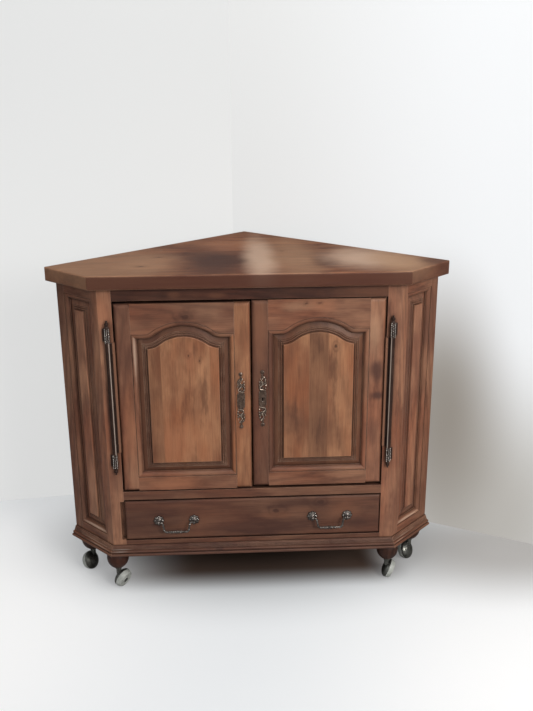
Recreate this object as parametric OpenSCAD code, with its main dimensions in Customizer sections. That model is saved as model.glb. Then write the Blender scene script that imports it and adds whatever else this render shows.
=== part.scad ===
// Corner television cabinet in stained fruitwood, on five ball casters.
// Two arched panel doors over one drawer, with 45 degree panelled returns.
// +Z is up, the doors face -Y, and the origin is on the floor under the middle of the top.

/* [Overall] */
// Height from the floor to the upper side of the top
total_h = 850; // [780:5:920]
// Width of the top across the rear tips
total_w = 1000; // [940:5:1080]
// Front to back depth of the cut-off front corners of the top
corner_cut = 121; // [110:1:135]

/* [Top] */
// Thickness of the top
top_t = 34; // [22:1:42]
// Rounding along the front and return edges of the top
top_edge_r = 4; // [1:0.5:6]
// Rounding of the five corners in plan
top_corner_r = 5; // [2:1:12]
// How far the top stands out past the front
overhang_front = 19; // [18:1:30]
// How far the top stands out past each return
overhang_side = 26; // [19:1:32]
// How far the top stands out past each back board
overhang_back = 9; // [4:1:14]

/* [Carcass] */
// Width of each front post on the front
front_post_w = 33.23; // [30:0.01:44]
// Height of the drawer opening
drawer_open_h = 115; // [106:1:130]
// Height of the frieze rail over the doors
frieze_h = 30; // [24:1:44]
// Height of the rail between the doors and the drawer
mid_rail_h = 23; // [18:1:30]
// Height of the rail under the drawer, above the base board
bottom_rail_h = 23.5; // [18:0.5:34]
// Thickness of the front rails
front_t = 24; // [20:1:28]
// How deep the front posts are, square to the return
post_t = 32; // [28:1:38]
// Thickness of the return frames
return_t = 22; // [20:1:26]
// Flat margin of the front post beside the return panel
return_front_w = 24; // [20:1:28]
// Flat width of the rear post beside the return panel
return_rear_w = 29; // [26:1:34]
// Height of the top rail of each return
return_top_h = 28; // [24:1:40]
// Height of the bottom rail of each return
return_bottom_h = 32.5; // [28:0.5:48]
// Depth of the rear posts
rear_post_t = 30; // [26:1:36]
// Side of the square post in the rear corner
apex_post = 36; // [30:1:44]
// Thickness of the back boards
back_t = 10; // [6:1:12]
// Wood of the rear posts that stands in front of the back boards
back_inset = 14; // [10:1:18]
// Thickness of the cabinet floor
floor_t = 16; // [12:1:20]
// Width of the recess in the left post beside the drawer
recess_w = 10; // [6:1:12]
// Depth of that recess
recess_d = 13; // [8:1:18]

/* [Joinery] */
// Length of the tenons
tenon_l = 16; // [10:1:18]
// Thickness of the tenons
tenon_t = 7; // [5:0.5:8]
// Shoulder that is left above and below each tenon
tenon_shoulder = 6; // [4:0.5:8]
// Clearance round a glued joint or a board in its groove
fit_gap = 0.15; // [0.1:0.05:0.3]

/* [Panel moulding] */
// Width of the moulding stuck on the frames
stick_w = 13.5; // [13:0.5:15]
// Depth of the quirk at its outer edge
quirk_d = 2.4; // [1.4:0.2:3]
// Radius of its ovolo
ovolo_r = 9.5; // [8.5:0.5:10]
// Depth of the panel groove
groove_d = 6; // [4:0.5:8]
// Distance from the face of a frame to its groove
groove_y = 11; // [10.5:0.5:12]
// Thickness of a panel's tongue
tongue_t = 6; // [4:0.5:7]
// Distance from the face of a frame to the raised field
field_y = 1; // [0.4:0.2:2]
// Distance from the face of a frame to the upper edge of the panel's bevel
bevel_y = 7.4; // [6.4:0.2:8.4]
// Width of the two reeds and the riser round the raised field
reed_w = 13; // [12:0.5:15]
// Radius of the reeds
reed_r = 2.1; // [1.8:0.1:2.3]

/* [Doors] */
// Thickness of each door
door_t = 24; // [22:1:26]
// Flat width of the stiles
stile_w = 39; // [34:1:46]
// Height of the top rail at the shoulders of the arch
door_top_h = 76; // [66:1:90]
// Height of the bottom rail
door_bottom_h = 37; // [32:1:48]
// Radius of the arch
arch_r = 128; // [110:1:135]
// Radius of the small reverse curves on each side of the arch
arch_reverse_r = 24.5; // [16:0.5:30]
// Width of the bevel round a panel
bevel_w = 12; // [8:0.5:14]
// Width of the thumbnail moulding on the stiles
thumb_w = 11; // [6:1:13]
// Depth of the thumbnail at the edge
thumb_d = 6; // [3:0.5:7]
// Gap between each door and its post
door_side_gap = 2; // [1.5:0.5:3]
// Gap between the two doors
door_mid_gap = 3; // [2.5:0.5:5]
// Gap over the right door
door_top_gap = 2.5; // [1.5:0.5:4]
// Gap under the right door
door_foot_gap = 6.5; // [6:0.5:8]
// How much lower the left door hangs
left_drop = 4.5; // [0:0.5:5]

/* [Hinges] */
// Distance of the hinge axis outside the doorway
hinge_out = 13; // [11:0.5:16]
// Distance of the hinge axis in front of the posts
hinge_proud = 7.2; // [7:0.2:9]
// Outer radius of the plain sleeve
sleeve_r = 5.8; // [5:0.2:6.4]
// Length of the plain sleeve
sleeve_l = 289; // [240:1:310]
// Length of the chased knuckle at each end, without its finial
knuckle_l = 38; // [30:1:46]
// Length of each finial
finial_l = 17; // [12:1:22]
// Height of the middle of the hinges above the middle of the doorway
hinge_lift = 3.5; // [-10:0.5:14]
// Radius of the hinge pin
hinge_pin_r = 2.5; // [2:0.1:3]
// Radial running clearance on pins and axles
run_gap = 0.05; // [0.02:0.01:0.09]
// Thickness of the hinge leaves
leaf_t = 2; // [1.5:0.1:2.4]
// How deep a leaf is let in behind the face, along the edge of its door
leaf_reach = 16; // [12:0.5:20]
// Distance of the two leaf pins from the ends of the sleeve
leaf_pin_z = 28; // [20:1:60]

/* [Escutcheons] */
// Height of each escutcheon
plate_h = 146; // [130:1:160]
// Width of the shield in its middle
shield_w = 18; // [15:1:20]
// Height of the shield
shield_h = 42; // [36:1:50]
// Thickness of the plate
plate_t = 1.8; // [1.2:0.2:2.4]
// Distance of the escutcheon from the meeting edge
plate_in = 25; // [22:1:28]
// Height of the middle of the door above the middle of the escutcheon
plate_drop = 6; // [-4:1:20]

/* [Drawer] */
// Gap over the drawer front
drawer_top_gap = 5; // [1:0.5:8]
// Gap under the drawer front
drawer_foot_gap = 2; // [1:0.5:3]
// Gap on each side of the drawer front
drawer_side_gap = 1.5; // [1:0.5:2.5]
// Thickness of the drawer front
drawer_front_t = 20; // [16:1:24]
// Depth of the drawer, front included
drawer_depth = 243; // [200:1:248]
// Distance of the drawer sides inside the opening
drawer_side_in = 9.5; // [7:0.5:14]
// Thickness of the drawer sides and back
drawer_side_t = 12; // [10:1:14]
// How much lower the drawer sides are than the front
drawer_side_drop = 10; // [4:1:24]
// Thickness of the drawer bottom
drawer_bottom_t = 5; // [4:0.5:6]
// Height of the drawer bottom above the foot of the sides
drawer_bottom_z = 7; // [5:0.5:10]
// Width of the thumbnail round the drawer front
drawer_thumb_w = 6; // [3:0.5:8]
// Depth of that thumbnail
drawer_thumb_d = 3; // [1:0.5:4]
// Width of each runner under the drawer sides
runner_w = 27; // [22:1:34]
// Height of the guide beside the drawer
guide_h = 27; // [16:1:34]

/* [Pulls] */
// Distance of each pull from the middle of the drawer
pull_x = 197; // [150:1:230]
// Distance between the two posts of a pull
pull_span = 90; // [76:1:104]
// Height of the posts above the foot of the drawer front
pull_z = 53; // [44:1:62]
// Distance of the bail's axis from the drawer front
pull_out = 14; // [12:0.5:16]
// Radius of each rosette
rosette_r = 14; // [11:0.5:17]
// Petals on each rosette
petals = 8; // [6:1:10]
// Radius of the posts
pull_post_r = 4; // [3.5:0.5:5]
// Radius of the bail's wire
bail_r = 2.6; // [2.2:0.1:3]
// Radius of the pins at the ends of the bail
bail_pin_r = 2; // [1.6:0.1:2.2]
// How far the bail hangs below its posts
bail_drop = 27; // [24:1:32]
// Slope of the swan necks
bail_slope = 80; // [70:1:84]

/* [Base and feet] */
// Height of the base moulding
base_h = 27; // [24:0.5:30]
// How far the base moulding stands out
base_out = 16; // [15:0.5:18]
// How far the fillet on top of the moulding stands out
base_fillet = 3; // [1.5:0.5:4]
// Thickness of the base board
base_board_t = 16; // [12:1:20]
// Height of the bun feet
foot_h = 53.5; // [48:0.5:62]
// Diameter of the bun feet
foot_d = 57; // [50:1:62]
// Diameter of a foot where it meets its caster
foot_tip_d = 20; // [19:0.5:26]
// Distance of the front feet inside the front corners of the top
front_foot_in = 22; // [18:1:40]
// Distance of the front feet behind the edge of the top
front_foot_y = 49; // [44:1:60]
// Distance of the rear feet inside the widest part of the top
rear_foot_in = 61; // [58:1:80]
// Distance of the rear feet behind the edge of the top
rear_foot_y = 150; // [134:1:154]
// Distance of the foot in the rear corner before the tip of the top
apex_foot_in = 81; // [64:1:120]

/* [Casters] */
// Space for the caster under each foot
caster_h = 60; // [57:0.5:66]
// Radius of the ball shape
ball_r = 25; // [23:0.5:26]
// Tilt of the wheel
wheel_tilt = 22; // [16:1:26]
// Offset of the ball behind the stem
caster_trail = 8; // [6:0.5:12]
// Offset of the ball along its axle
caster_side = 3; // [0:0.5:5]
// Width of the tread
tread_w = 12.5; // [11:0.5:14]
// Depth of the hood's dome
hood_d = 14; // [13:0.5:18]
// Wall of the hood
hood_wall = 2; // [1.5:0.1:3]
// Radius of the stem and of the axle
stem_r = 4; // [3:0.1:4.5]
// Wall of the socket that holds the stem
socket_wall = 1.5; // [1:0.1:2.5]
// Length of the socket inside the foot
socket_l = 36; // [28:1:40]

/* [Hidden] */
$fn = 64;

wood = "#7a4a30";
wood_dark = "#5d3626";
wood_light = "#9a683f";
iron = "#4c4844";
pewter = "#8c8a86";
rubber = "#c4c6c0";
slack = 1;
stick_spare = 2;
reed_rise = 1.2;
blank_w = stick_w + stick_spare;
root2 = sqrt(2);

// Plan, measured from the front edge of the top
depth = corner_cut + total_w / 2;
front_y = -depth / 2;
face_y = front_y + overhang_front;
top_front_w = total_w - 2 * corner_cut;
body_corner_x = top_front_w / 2 - overhang_side * root2 + overhang_front;
opening_w = 2 * (body_corner_x - front_post_w);
body_rear = plan(overhang_front, overhang_side, overhang_back)[2];
return_l = (body_rear[0] - body_corner_x) * root2;
back_l = body_rear[0] * root2;
back_seat = back_t + fit_gap;
back_lip = back_t + 2;

// Heights
foot_z = caster_h;
base_z = foot_z + foot_h;
carcass_z = base_z + base_board_t;
drawer_sill_z = carcass_z + bottom_rail_h;
mid_rail_z = drawer_sill_z + drawer_open_h;
door_sill_z = mid_rail_z + mid_rail_h;
top_z = total_h - top_t;
door_head_z = top_z - frieze_h;
door_open_h = door_head_z - door_sill_z;
door_h = door_open_h - door_top_gap - door_foot_gap;
right_door_z = door_head_z - door_top_gap - door_h;
left_door_z = right_door_z - left_drop;

// Doors, in their own frame: X runs from the hinge edge to the meeting edge
plate_z = door_h / 2 - plate_drop;
door_w = (opening_w - 2 * door_side_gap - door_mid_gap) / 2;
arch_half = door_w / 2 - stile_w;
shoulder_z = door_h - door_top_h;
// The curves meet at a slope of 3 in 4
arch_a = atan(3 / 4);
arch_s = (arch_r + arch_reverse_r) * 3 / 5;
arch_main_z = shoulder_z + arch_reverse_r - (arch_r + arch_reverse_r) * 4 / 5;
arch_reverse_z = shoulder_z + arch_reverse_r;

// Caster turns about its stem, as photographed: bearing of the wheel's outer side
foot_y = [front_y + front_foot_y, front_y + rear_foot_y, front_y + depth - apex_foot_in];
foot_x = [top_front_w / 2 - front_foot_in, total_w / 2 - rear_foot_in];
feet = [[-foot_x[0], foot_y[0]], [foot_x[0], foot_y[0]], [-foot_x[1], foot_y[1]], [foot_x[1], foot_y[1]],
    [0, foot_y[2]]];
caster_turn = [-35, -14, 154, 140, 90];

// Points of an arc about a centre
function arc(x, y, r, a0, a1, n = 8) = [for (i = [0:n]) let (a = a0 + (a1 - a0) * i / n)
    [x + r * cos(a), y + r * sin(a)]];

// Pentagon of the top drawn in by f at the front, s at the returns and b at the backs
function plan(f, s, b) = let (half = top_front_w / 2, xr = (half + depth - (s + b) * root2) / 2,
    yr = (depth - half + (s - b) * root2) / 2)
    [[-(half - s * root2 + f), front_y + f], [half - s * root2 + f, front_y + f], [xr, front_y + yr],
    [0, front_y + depth - b * root2], [-xr, front_y + yr]];

// The same outline with each corner rounded
function unit(v) = v / norm(v);
function soft_corners(pts, r) = let (n = len(pts)) [for (i = [0:n - 1])
    let (p = pts[i], a = unit(pts[(i + n - 1) % n] - p), b = unit(pts[(i + 1) % n] - p),
        half = acos(a * b) / 2, c = p + unit(a + b) * r / sin(half), s = atan2(p[1] - c[1], p[0] - c[0]))
    each arc(c[0], c[1], r, s - 90 + half, s + 90 - half, 5)];

// Section of the quirk and ovolo: width from the outer edge against depth from the face
function stick_line() = concat([[0, 0], [0.3, quirk_d]],
    arc(stick_w - 1 - ovolo_r, ovolo_r + 0.9, ovolo_r, -100, -8, 9), [[stick_w, ovolo_r + 0.2]]);

// Section of a reed: its middle at x, its top at depth y
function reed_line(x, y) = arc(x, y + reed_r, reed_r, -165, -15, 6);

// Curve of the arch, drawn in by d from the outer edge of the moulding
function arch_curve(d) = concat([[-(arch_half - d), shoulder_z - d]],
    arc(-arch_s, arch_reverse_z, arch_reverse_r + d, -90, -90 + arch_a, 8),
    arc(0, arch_main_z, arch_r - d, 90 + arch_a, 90 - arch_a, 24),
    arc(arch_s, arch_reverse_z, arch_reverse_r + d, -90 - arch_a, -90, 8),
    [[arch_half - d, shoulder_z - d]]);

// Stands a drawing in X and Z up as a board that runs back from y
module board(t, y = 0) {
    translate([0, y + t, 0]) rotate([90, 0, 0]) linear_extrude(t) children();
}

// A block from its low corner to its high corner
module block(lo, hi) {
    translate(lo) cube(hi - lo);
}

module both_sides() {
    children();
    mirror([1, 0, 0]) children();
}

module on_left() {
    mirror([1, 0, 0]) children();
}

// Frame of the right return: X along it from the front corner, Y into the cabinet
module on_return() {
    translate([body_corner_x, face_y, 0]) rotate([0, 0, 45]) children();
}

// Runs a moulding section up an edge that opens towards +X
module run_up(x, z0, z1) {
    translate([x, 0, z0]) linear_extrude(z1 - z0) children();
}

// Runs a section up an edge that opens towards -X
module run_up_back(x, z0, z1) {
    translate([x, 0, z0]) mirror([1, 0, 0]) linear_extrude(z1 - z0) children();
}

// Runs a section along an edge that opens upwards
module run_over(z, x0, x1) {
    translate([x1, 0, z]) rotate([0, -90, 0]) linear_extrude(x1 - x0) children();
}

// Runs a section along an edge that opens downwards
module run_under(z, x0, x1) {
    translate([x0, 0, z]) rotate([0, 90, 0]) linear_extrude(x1 - x0) children();
}

// Runs a section along the shoulders, reverse curves and crown of the arch, centred on X
module run_arch() {
    for (side = [0, 1]) mirror([side, 0, 0]) {
        run_under(shoulder_z, arch_s, arch_half + slack) children();
        translate([arch_s, 0, arch_reverse_z]) rotate([90, 0, 0]) rotate([0, 0, -90 - arch_a])
            rotate_extrude(angle = arch_a) translate([arch_reverse_r, 0]) mirror([0, 1]) children();
        translate([0, 0, arch_main_z]) rotate([90, 0, 0]) rotate([0, 0, 90 - arch_a])
            rotate_extrude(angle = arch_a) translate([arch_r, 0]) rotate(180) children();
    }
}

// What the moulding plane and the groove take off the edge of a blank that is stick_spare too wide
module stick_section() {
    deep = max(door_t, return_t) + slack;
    polygon(concat([[0, -slack]], stick_line(), [[stick_w, groove_y], [stick_w - groove_d, groove_y],
        [stick_w - groove_d, groove_y + tongue_t], [stick_w, groove_y + tongue_t], [stick_w, deep],
        [blank_w + stick_spare, deep], [blank_w + stick_spare, -slack]]));
}

// What is taken off the edge of a raised panel: bevel, two reeds and the riser to the field
module panel_section() {
    front = groove_y + fit_gap;
    x = stick_w + bevel_w;
    x1 = x + reed_r + 1;
    x2 = x1 + 2 * reed_r + 0.7;
    edge = stick_w - groove_d - slack;
    polygon(concat([[edge, -slack], [edge, front], [stick_w, front], [x, bevel_y], [x + 0.5, bevel_y + 1.2]],
        reed_line(x1, bevel_y - reed_rise / 2), [[x1 + reed_r + 0.35, bevel_y + 1]],
        reed_line(x2, bevel_y - reed_rise * 1.5), [[x2 + reed_r + 0.4, bevel_y - 0.2]],
        [[x + reed_w - 0.8, field_y + 1.2], [x + reed_w, field_y], [x + reed_w, -slack]]));
}

// What a rounded edge takes off, from the edge inwards: width w, depth d
module thumb_section(w, d) {
    r = (w * w + d * d) / (2 * d);
    sweep = asin(w / r);
    polygon(concat([[-slack, -slack], [-slack, d]], arc(w, r, r, -90 - sweep, -90, 8), [[w, -slack]]));
}

// Tenon or mortise: a block that points along X
module tenon(x0, x1, z0, z1, gap = 0) {
    y = (front_t - tenon_t) / 2;
    block([x0 - gap, y - gap, z0 + tenon_shoulder - gap],
        [x1 + gap, y + tenon_t + gap, z1 - tenon_shoulder + gap]);
}

// Short post with a round head that points towards -Y
module dome(r, post) {
    rotate([90, 0, 0]) {
        cylinder(h = post, r = r, $fn = 24);
        translate([0, 0, post]) rotate_extrude($fn = 24) intersection() {
            circle(r = r);
            square(r);
        }
    }
}

// Upright of a panel frame: flat from x = 0 to w, then the moulding with mitred ends
module upright(w, z0, z1, in0, in1, t) {
    difference() {
        board(t) polygon([[0, z0], [w, z0], [w, in0], [w + blank_w, in0 + blank_w],
            [w + blank_w, in1 - blank_w], [w, in1], [w, z1], [0, z1]]);
        run_up(w, z0 - slack, z1 + slack) stick_section();
    }
}

// Top

module top_slab() {
    pts = plan(0, 0, 0);
    tip = top_front_w / 2;
    color(wood_dark) difference() {
        translate([0, 0, top_z]) linear_extrude(top_t) polygon(soft_corners(pts, top_corner_r));
        for (level = [0, 1]) translate([0, 0, level ? total_h : top_z]) mirror([0, 0, level]) {
            translate([0, front_y, 0]) edge_round(tip + slack);
            both_sides() translate([tip, front_y, 0]) rotate([0, 0, 45])
                translate([corner_cut / root2, 0, 0]) edge_round(corner_cut);
        }
    }
}

// Quarter round taken off a lower edge that runs along X
module edge_round(half) {
    r = top_edge_r;
    translate([-half, 0, 0]) rotate([90, 0, 90]) linear_extrude(2 * half)
        polygon(concat([[-slack, -slack], [-slack, r]], arc(r, r, r, 180, 270, 5), [[r, -slack]]));
}

// Carcass

// Plan of a front post, grown by c
function front_post(c) = let (h = return_front_w / root2, t = post_t / root2,
    x = opening_w / 2 - c, back = face_y + h + t + c)
    [[x, face_y], [body_corner_x, face_y], [body_corner_x + h + c, face_y + h + c],
    [body_corner_x + h - t + c, back], [x, back]];

module front_post_body() {
    in0 = carcass_z + return_bottom_h;
    in1 = top_z - return_top_h;
    difference() {
        union() {
            translate([0, 0, carcass_z]) linear_extrude(top_z - carcass_z) polygon(front_post(0));
            on_return() upright(return_front_w, carcass_z, top_z, in0, in1, return_t);
        }
        front_tenons(fit_gap);
        on_return() return_tenons(1, fit_gap);
    }
}

module front_tenons(gap) {
    x = opening_w / 2;
    translate([0, face_y, 0]) {
        tenon(x, x + tenon_l, carcass_z, drawer_sill_z, gap);
        tenon(x, x + tenon_l, mid_rail_z, door_sill_z, gap);
        tenon(x, x + tenon_l, door_head_z, top_z, gap);
    }
}

// Tenons of both return rails: end 1 enters the front post, end 2 the rear post
module return_tenons(end, gap) {
    x0 = end == 1 ? return_front_w - tenon_l : return_l - return_rear_w;
    for (z = [[carcass_z, carcass_z + return_bottom_h], [top_z - return_top_h, top_z]])
        tenon(x0, x0 + tenon_l, z[0], z[1], gap);
}

module post_front_right() {
    color(wood) front_post_body();
}

module post_front_left() {
    x = opening_w / 2;
    color(wood) difference() {
        on_left() front_post_body();
        block([-x - recess_w, face_y - slack, drawer_sill_z + drawer_foot_gap],
            [-x + slack, face_y + recess_d, mid_rail_z - drawer_top_gap]);
    }
}

// Plan of a rear post in the frame of its return, grown by c
module rear_post_plan(c) {
    translate([return_l - return_rear_w - c, -c]) square([return_rear_w + 2 * c, rear_post_t + 2 * c]);
}

module rear_post_body() {
    in0 = carcass_z + return_bottom_h;
    in1 = top_z - return_top_h;
    on_return() difference() {
        union() {
            translate([0, 0, carcass_z]) linear_extrude(top_z - carcass_z) rear_post_plan(0);
            translate([return_l, 0, 0]) mirror([1, 0, 0])
                upright(return_rear_w, carcass_z, top_z, in0, in1, return_t);
        }
        block([return_l - back_seat, back_inset, carcass_z - slack],
            [return_l + slack, rear_post_t + slack, top_z + slack]);
        return_tenons(2, fit_gap);
    }
}

module post_rear_right() {
    color(wood) rear_post_body();
}

module post_rear_left() {
    color(wood) on_left() rear_post_body();
}

// Rear corner post, in the frame of the right return
module apex_plan(c) {
    translate([return_l - apex_post - c, back_l - apex_post - c]) square(apex_post + c);
}

module post_apex() {
    color(wood_light) on_return() difference() {
        translate([0, 0, carcass_z]) linear_extrude(top_z - carcass_z) apex_plan(0);
        block([return_l - back_seat, back_l - apex_post - slack, carcass_z - slack],
            [return_l + slack, back_l - back_lip, top_z + slack]);
        block([return_l - apex_post - slack, back_l - back_seat, carcass_z - slack],
            [return_l - back_lip, back_l + slack, top_z + slack]);
    }
}

// Rail of a return between its posts, with the moulding along one edge
module return_rail(top) {
    z0 = top ? top_z - return_top_h : carcass_z;
    z1 = top ? top_z : carcass_z + return_bottom_h;
    x0 = return_front_w;
    x1 = return_l - return_rear_w;
    in_z = top ? z0 - blank_w : z1 + blank_w;
    edge = top ? z0 : z1;
    on_return() {
        difference() {
            board(return_t) polygon([[x0, top ? z1 : z0], [x1, top ? z1 : z0], [x1, edge],
                [x1 - blank_w, in_z], [x0 + blank_w, in_z], [x0, edge]]);
            if (top) run_under(edge, x0 - slack, x1 + slack) stick_section();
            else run_over(edge, x0 - slack, x1 + slack) stick_section();
        }
        tenon(x0 - tenon_l, x0, z0, z1);
        tenon(x1, x1 + tenon_l, z0, z1);
    }
}

module return_top_rail_right() {
    color(wood_dark) return_rail(true);
}

module return_top_rail_left() {
    color(wood_dark) on_left() return_rail(true);
}

module return_bottom_rail_right() {
    color(wood_dark) return_rail(false);
}

module return_bottom_rail_left() {
    color(wood_dark) on_left() return_rail(false);
}

// Raised panel of a return, loose in its grooves
module return_panel() {
    in = stick_w - groove_d + fit_gap;
    x0 = return_front_w;
    x1 = return_l - return_rear_w;
    z0 = carcass_z + return_bottom_h;
    z1 = top_z - return_top_h;
    on_return() difference() {
        block([x0 + in, field_y, z0 + in], [x1 - in, groove_y + tongue_t - fit_gap, z1 - in]);
        run_up(x0, z0, z1) panel_section();
        run_up_back(x1, z0, z1) panel_section();
        run_over(z0, x0, x1) panel_section();
        run_under(z1, x0, x1) panel_section();
    }
}

module return_panel_right() {
    color(wood_light) return_panel();
}

module return_panel_left() {
    color(wood_light) on_left() return_panel();
}

// Plain front rail with a tenon at each end
module front_rail(z0, z1) {
    x = opening_w / 2;
    translate([0, face_y, 0]) {
        block([-x, 0, z0], [x, front_t, z1]);
        tenon(-x - tenon_l, -x, z0, z1);
        tenon(x, x + tenon_l, z0, z1);
    }
}

module frieze_rail() {
    color(wood_dark) front_rail(door_head_z, top_z);
}

module mid_rail() {
    color(wood) front_rail(mid_rail_z, door_sill_z);
}

module bottom_rail() {
    color(wood) front_rail(carcass_z, drawer_sill_z);
}

// Cabinet floor over the drawer, let in round the posts
module floor_board() {
    inner = plan(overhang_front + front_t, overhang_side + return_t + fit_gap,
        overhang_back + back_t + fit_gap);
    color(wood_light) translate([0, 0, door_sill_z - floor_t]) linear_extrude(floor_t) difference() {
        polygon(inner);
        both_sides() {
            polygon(front_post(fit_gap));
            on_return_plan() rear_post_plan(fit_gap);
        }
        on_return_plan() apex_plan(fit_gap);
    }
}

module on_return_plan() {
    translate([body_corner_x, face_y]) rotate(45) children();
}

module back_board() {
    on_return() block([return_l - back_t, back_inset, carcass_z],
        [return_l, back_l - back_lip - fit_gap, top_z]);
}

module back_board_right() {
    color(wood_light) back_board();
}

module back_board_left() {
    color(wood_light) on_left() back_board();
}

// Base

module base_board() {
    color(wood_dark) difference() {
        translate([0, 0, base_z]) linear_extrude(base_board_t)
            polygon(plan(overhang_front, overhang_side, overhang_back));
        for (p = feet) translate([p[0], p[1], base_z - slack])
            cylinder(h = foot_dowel_l + slack + fit_gap, r = foot_dowel_r + fit_gap);
    }
}

foot_collar_h = 3;
foot_dowel_r = 8;
foot_dowel_l = 12;

// Section of the base moulding: two beads, three fine reeds and a top fillet
module base_section() {
    bead = base_h * 0.145;
    bead2 = bead * 0.82;
    bead2_x = base_out - bead * 1.65;
    reed = base_h * 0.05;
    reed_x = base_out - bead * 2.5;
    reed_z = bead * 3.9;
    polygon(concat([[0, 0], [base_out - bead, 0]],
        arc(base_out - bead, bead, bead, -70, 80, 7),
        [[base_out - bead * 1.5, bead * 2.05]],
        arc(bead2_x, bead * 2.95, bead2, -65, 80, 7),
        [[base_out - bead * 2.2, reed_z]],
        [for (k = [0:2]) each arc(reed_x - reed * k, reed_z + reed * (1.1 + 2.1 * k), reed, -60, 80, 4)],
        [[base_fillet, reed_z + reed * 7.2], [base_fillet, base_h], [0, base_h]]));
}

// Length of base moulding along X, cut to a mitre where m is 1
module base_run(x0, x1, m0, m1) {
    reach = base_out + slack;
    grow = reach * tan(22.5);
    intersection() {
        translate([x0 - grow, 0, base_z]) rotate([90, 0, 90]) linear_extrude(x1 - x0 + 2 * grow)
            mirror([1, 0]) base_section();
        translate([0, 0, base_z - slack]) linear_extrude(base_h + 2 * slack)
            polygon([[x0, 0], [x0 - m0 * grow, -reach], [x1 + m1 * grow, -reach], [x1, 0]]);
    }
}

module base_moulding_front() {
    color(wood_dark) translate([0, face_y, 0]) base_run(-body_corner_x, body_corner_x, 1, 1);
}

module base_moulding_right() {
    color(wood_dark) on_return() base_run(0, return_l, 1, 0);
}

module base_moulding_left() {
    color(wood_dark) on_left() on_return() base_run(0, return_l, 1, 0);
}

// Turned bun feet with a dowel into the base board and a bore for the socket
module bun_feet() {
    r = foot_d / 2;
    tip = foot_tip_d / 2;
    collar = r * 0.77;
    neck = r * 0.72;
    mid = foot_h * 0.55;
    high = foot_h - foot_collar_h - mid;
    low_r = (pow(r - tip, 2) + mid * mid) / (2 * (r - tip));
    high_r = (pow(r - neck, 2) + high * high) / (2 * (r - neck));
    socket_bore = stem_r + run_gap + socket_wall + fit_gap;
    color(wood) for (p = feet) translate([p[0], p[1], foot_z]) difference() {
        union() {
            rotate_extrude() polygon(concat([[0, 0]], arc(r - low_r, mid, low_r, -asin(mid / low_r), 0, 10),
                arc(r - high_r, mid, high_r, 4, asin(high / high_r), 7),
                [[collar, foot_h - foot_collar_h], [collar, foot_h], [0, foot_h]]));
            cylinder(h = foot_h + foot_dowel_l, r = foot_dowel_r);
        }
        translate([0, 0, -slack]) cylinder(h = socket_l + slack + fit_gap, r = socket_bore);
    }
}

// Pressed sockets in the feet that hold the caster stems
module caster_sockets() {
    color(pewter) for (p = feet) translate([p[0], p[1], foot_z]) difference() {
        union() {
            translate([0, 0, -1.5]) cylinder(h = 1.5, r = foot_tip_d / 2 - 1);
            cylinder(h = socket_l, r = stem_r + run_gap + socket_wall);
        }
        translate([0, 0, -1.5 - slack]) cylinder(h = socket_l + 1.5 + 2 * slack, r = stem_r + run_gap);
    }
}

// Casters

// Place of one caster, with its stem on the foot's axis
module at_foot(i) {
    translate([feet[i][0], feet[i][1], 0]) rotate([0, 0, caster_turn[i]]) children();
}

// Frame of the ball: Z along the tilted axle, away from the hood
module at_ball() {
    translate([caster_side, caster_trail, ball_r]) rotate([0, 90 + wheel_tilt, 0]) children();
}

hub_r = 9;
axle_head_r = 6;

// Domed hood with its axle, swivel collar and stem
module caster_hood(i) {
    top = foot_z - 1.5;
    color(pewter) at_foot(i) {
        at_ball() {
            rotate_extrude() polygon(concat([[0, -hood_d]],
                [for (a = [80:-8:0]) [ball_r * cos(a), -hood_d * sin(a)]],
                [for (a = [0:8:80]) [(ball_r - hood_wall) * cos(a), -(hood_d - hood_wall) * sin(a)]],
                [[0, hood_wall - hood_d]]));
            translate([0, 0, hood_wall - hood_d]) cylinder(h = hood_d - hood_wall - 3, r = hub_r - 1);
            translate([0, 0, -4]) cylinder(h = tread_w + 5.3, r = stem_r);
            translate([0, 0, tread_w + 1.3]) cylinder(h = 1.4, r = axle_head_r);
        }
        difference() {
            translate([0, 0, ball_r + 15]) cylinder(h = top - 4 - ball_r - 15 + 0.2, r = stem_r + 2.5);
            at_ball() cylinder(h = 40, r = ball_r);
        }
        translate([0, 0, top - 4]) cylinder(h = 3.8, r = stem_r + 4);
        translate([0, 0, top - 2]) cylinder(h = socket_l, r = stem_r);
    }
}

// Rubber tyred wheel that fills the open side of the ball
module caster_wheel(i) {
    rim = sqrt(ball_r * ball_r - pow(tread_w + 1, 2));
    color(rubber) at_foot(i) at_ball() rotate_extrude() polygon(concat(
        [[stem_r + run_gap, -2.6], [hub_r, -2.6], [hub_r, 1]],
        [for (k = [0:9]) let (s = 1 + tread_w * k / 9) [sqrt(ball_r * ball_r - s * s), s]],
        [[rim - 3, tread_w + 1], [rim - 5, tread_w - 1], [hub_r + 1, tread_w - 1], [hub_r, tread_w + 1],
        [stem_r + run_gap, tread_w + 1]]));
}

// Doors

// A door's own frame on the left; the right door is its mirror image at its own height
module on_left_door() {
    translate([door_side_gap - opening_w / 2, face_y, left_door_z]) children();
}

module on_right_door() {
    on_left() translate([door_side_gap - opening_w / 2, face_y, right_door_z]) children();
}

// Tenons of the two rails into one stile, whose inner edge is at x = stile_w
module door_tenons(gap) {
    tenon(stile_w - tenon_l, stile_w, 0, door_bottom_h, gap);
    tenon(stile_w - tenon_l, stile_w, shoulder_z, door_h, gap);
}

// Door stile from x = 0, with thumbnail moulding on its outer edge and its ends
module door_stile() {
    difference() {
        upright(stile_w, 0, door_h, door_bottom_h, shoulder_z, door_t);
        run_up(0, -slack, door_h + slack) thumb_section(thumb_w, thumb_d);
        run_over(0, -slack, stile_w) thumb_section(thumb_w, thumb_d);
        run_under(door_h, -slack, stile_w) thumb_section(thumb_w, thumb_d);
        door_tenons(fit_gap);
    }
}

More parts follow.
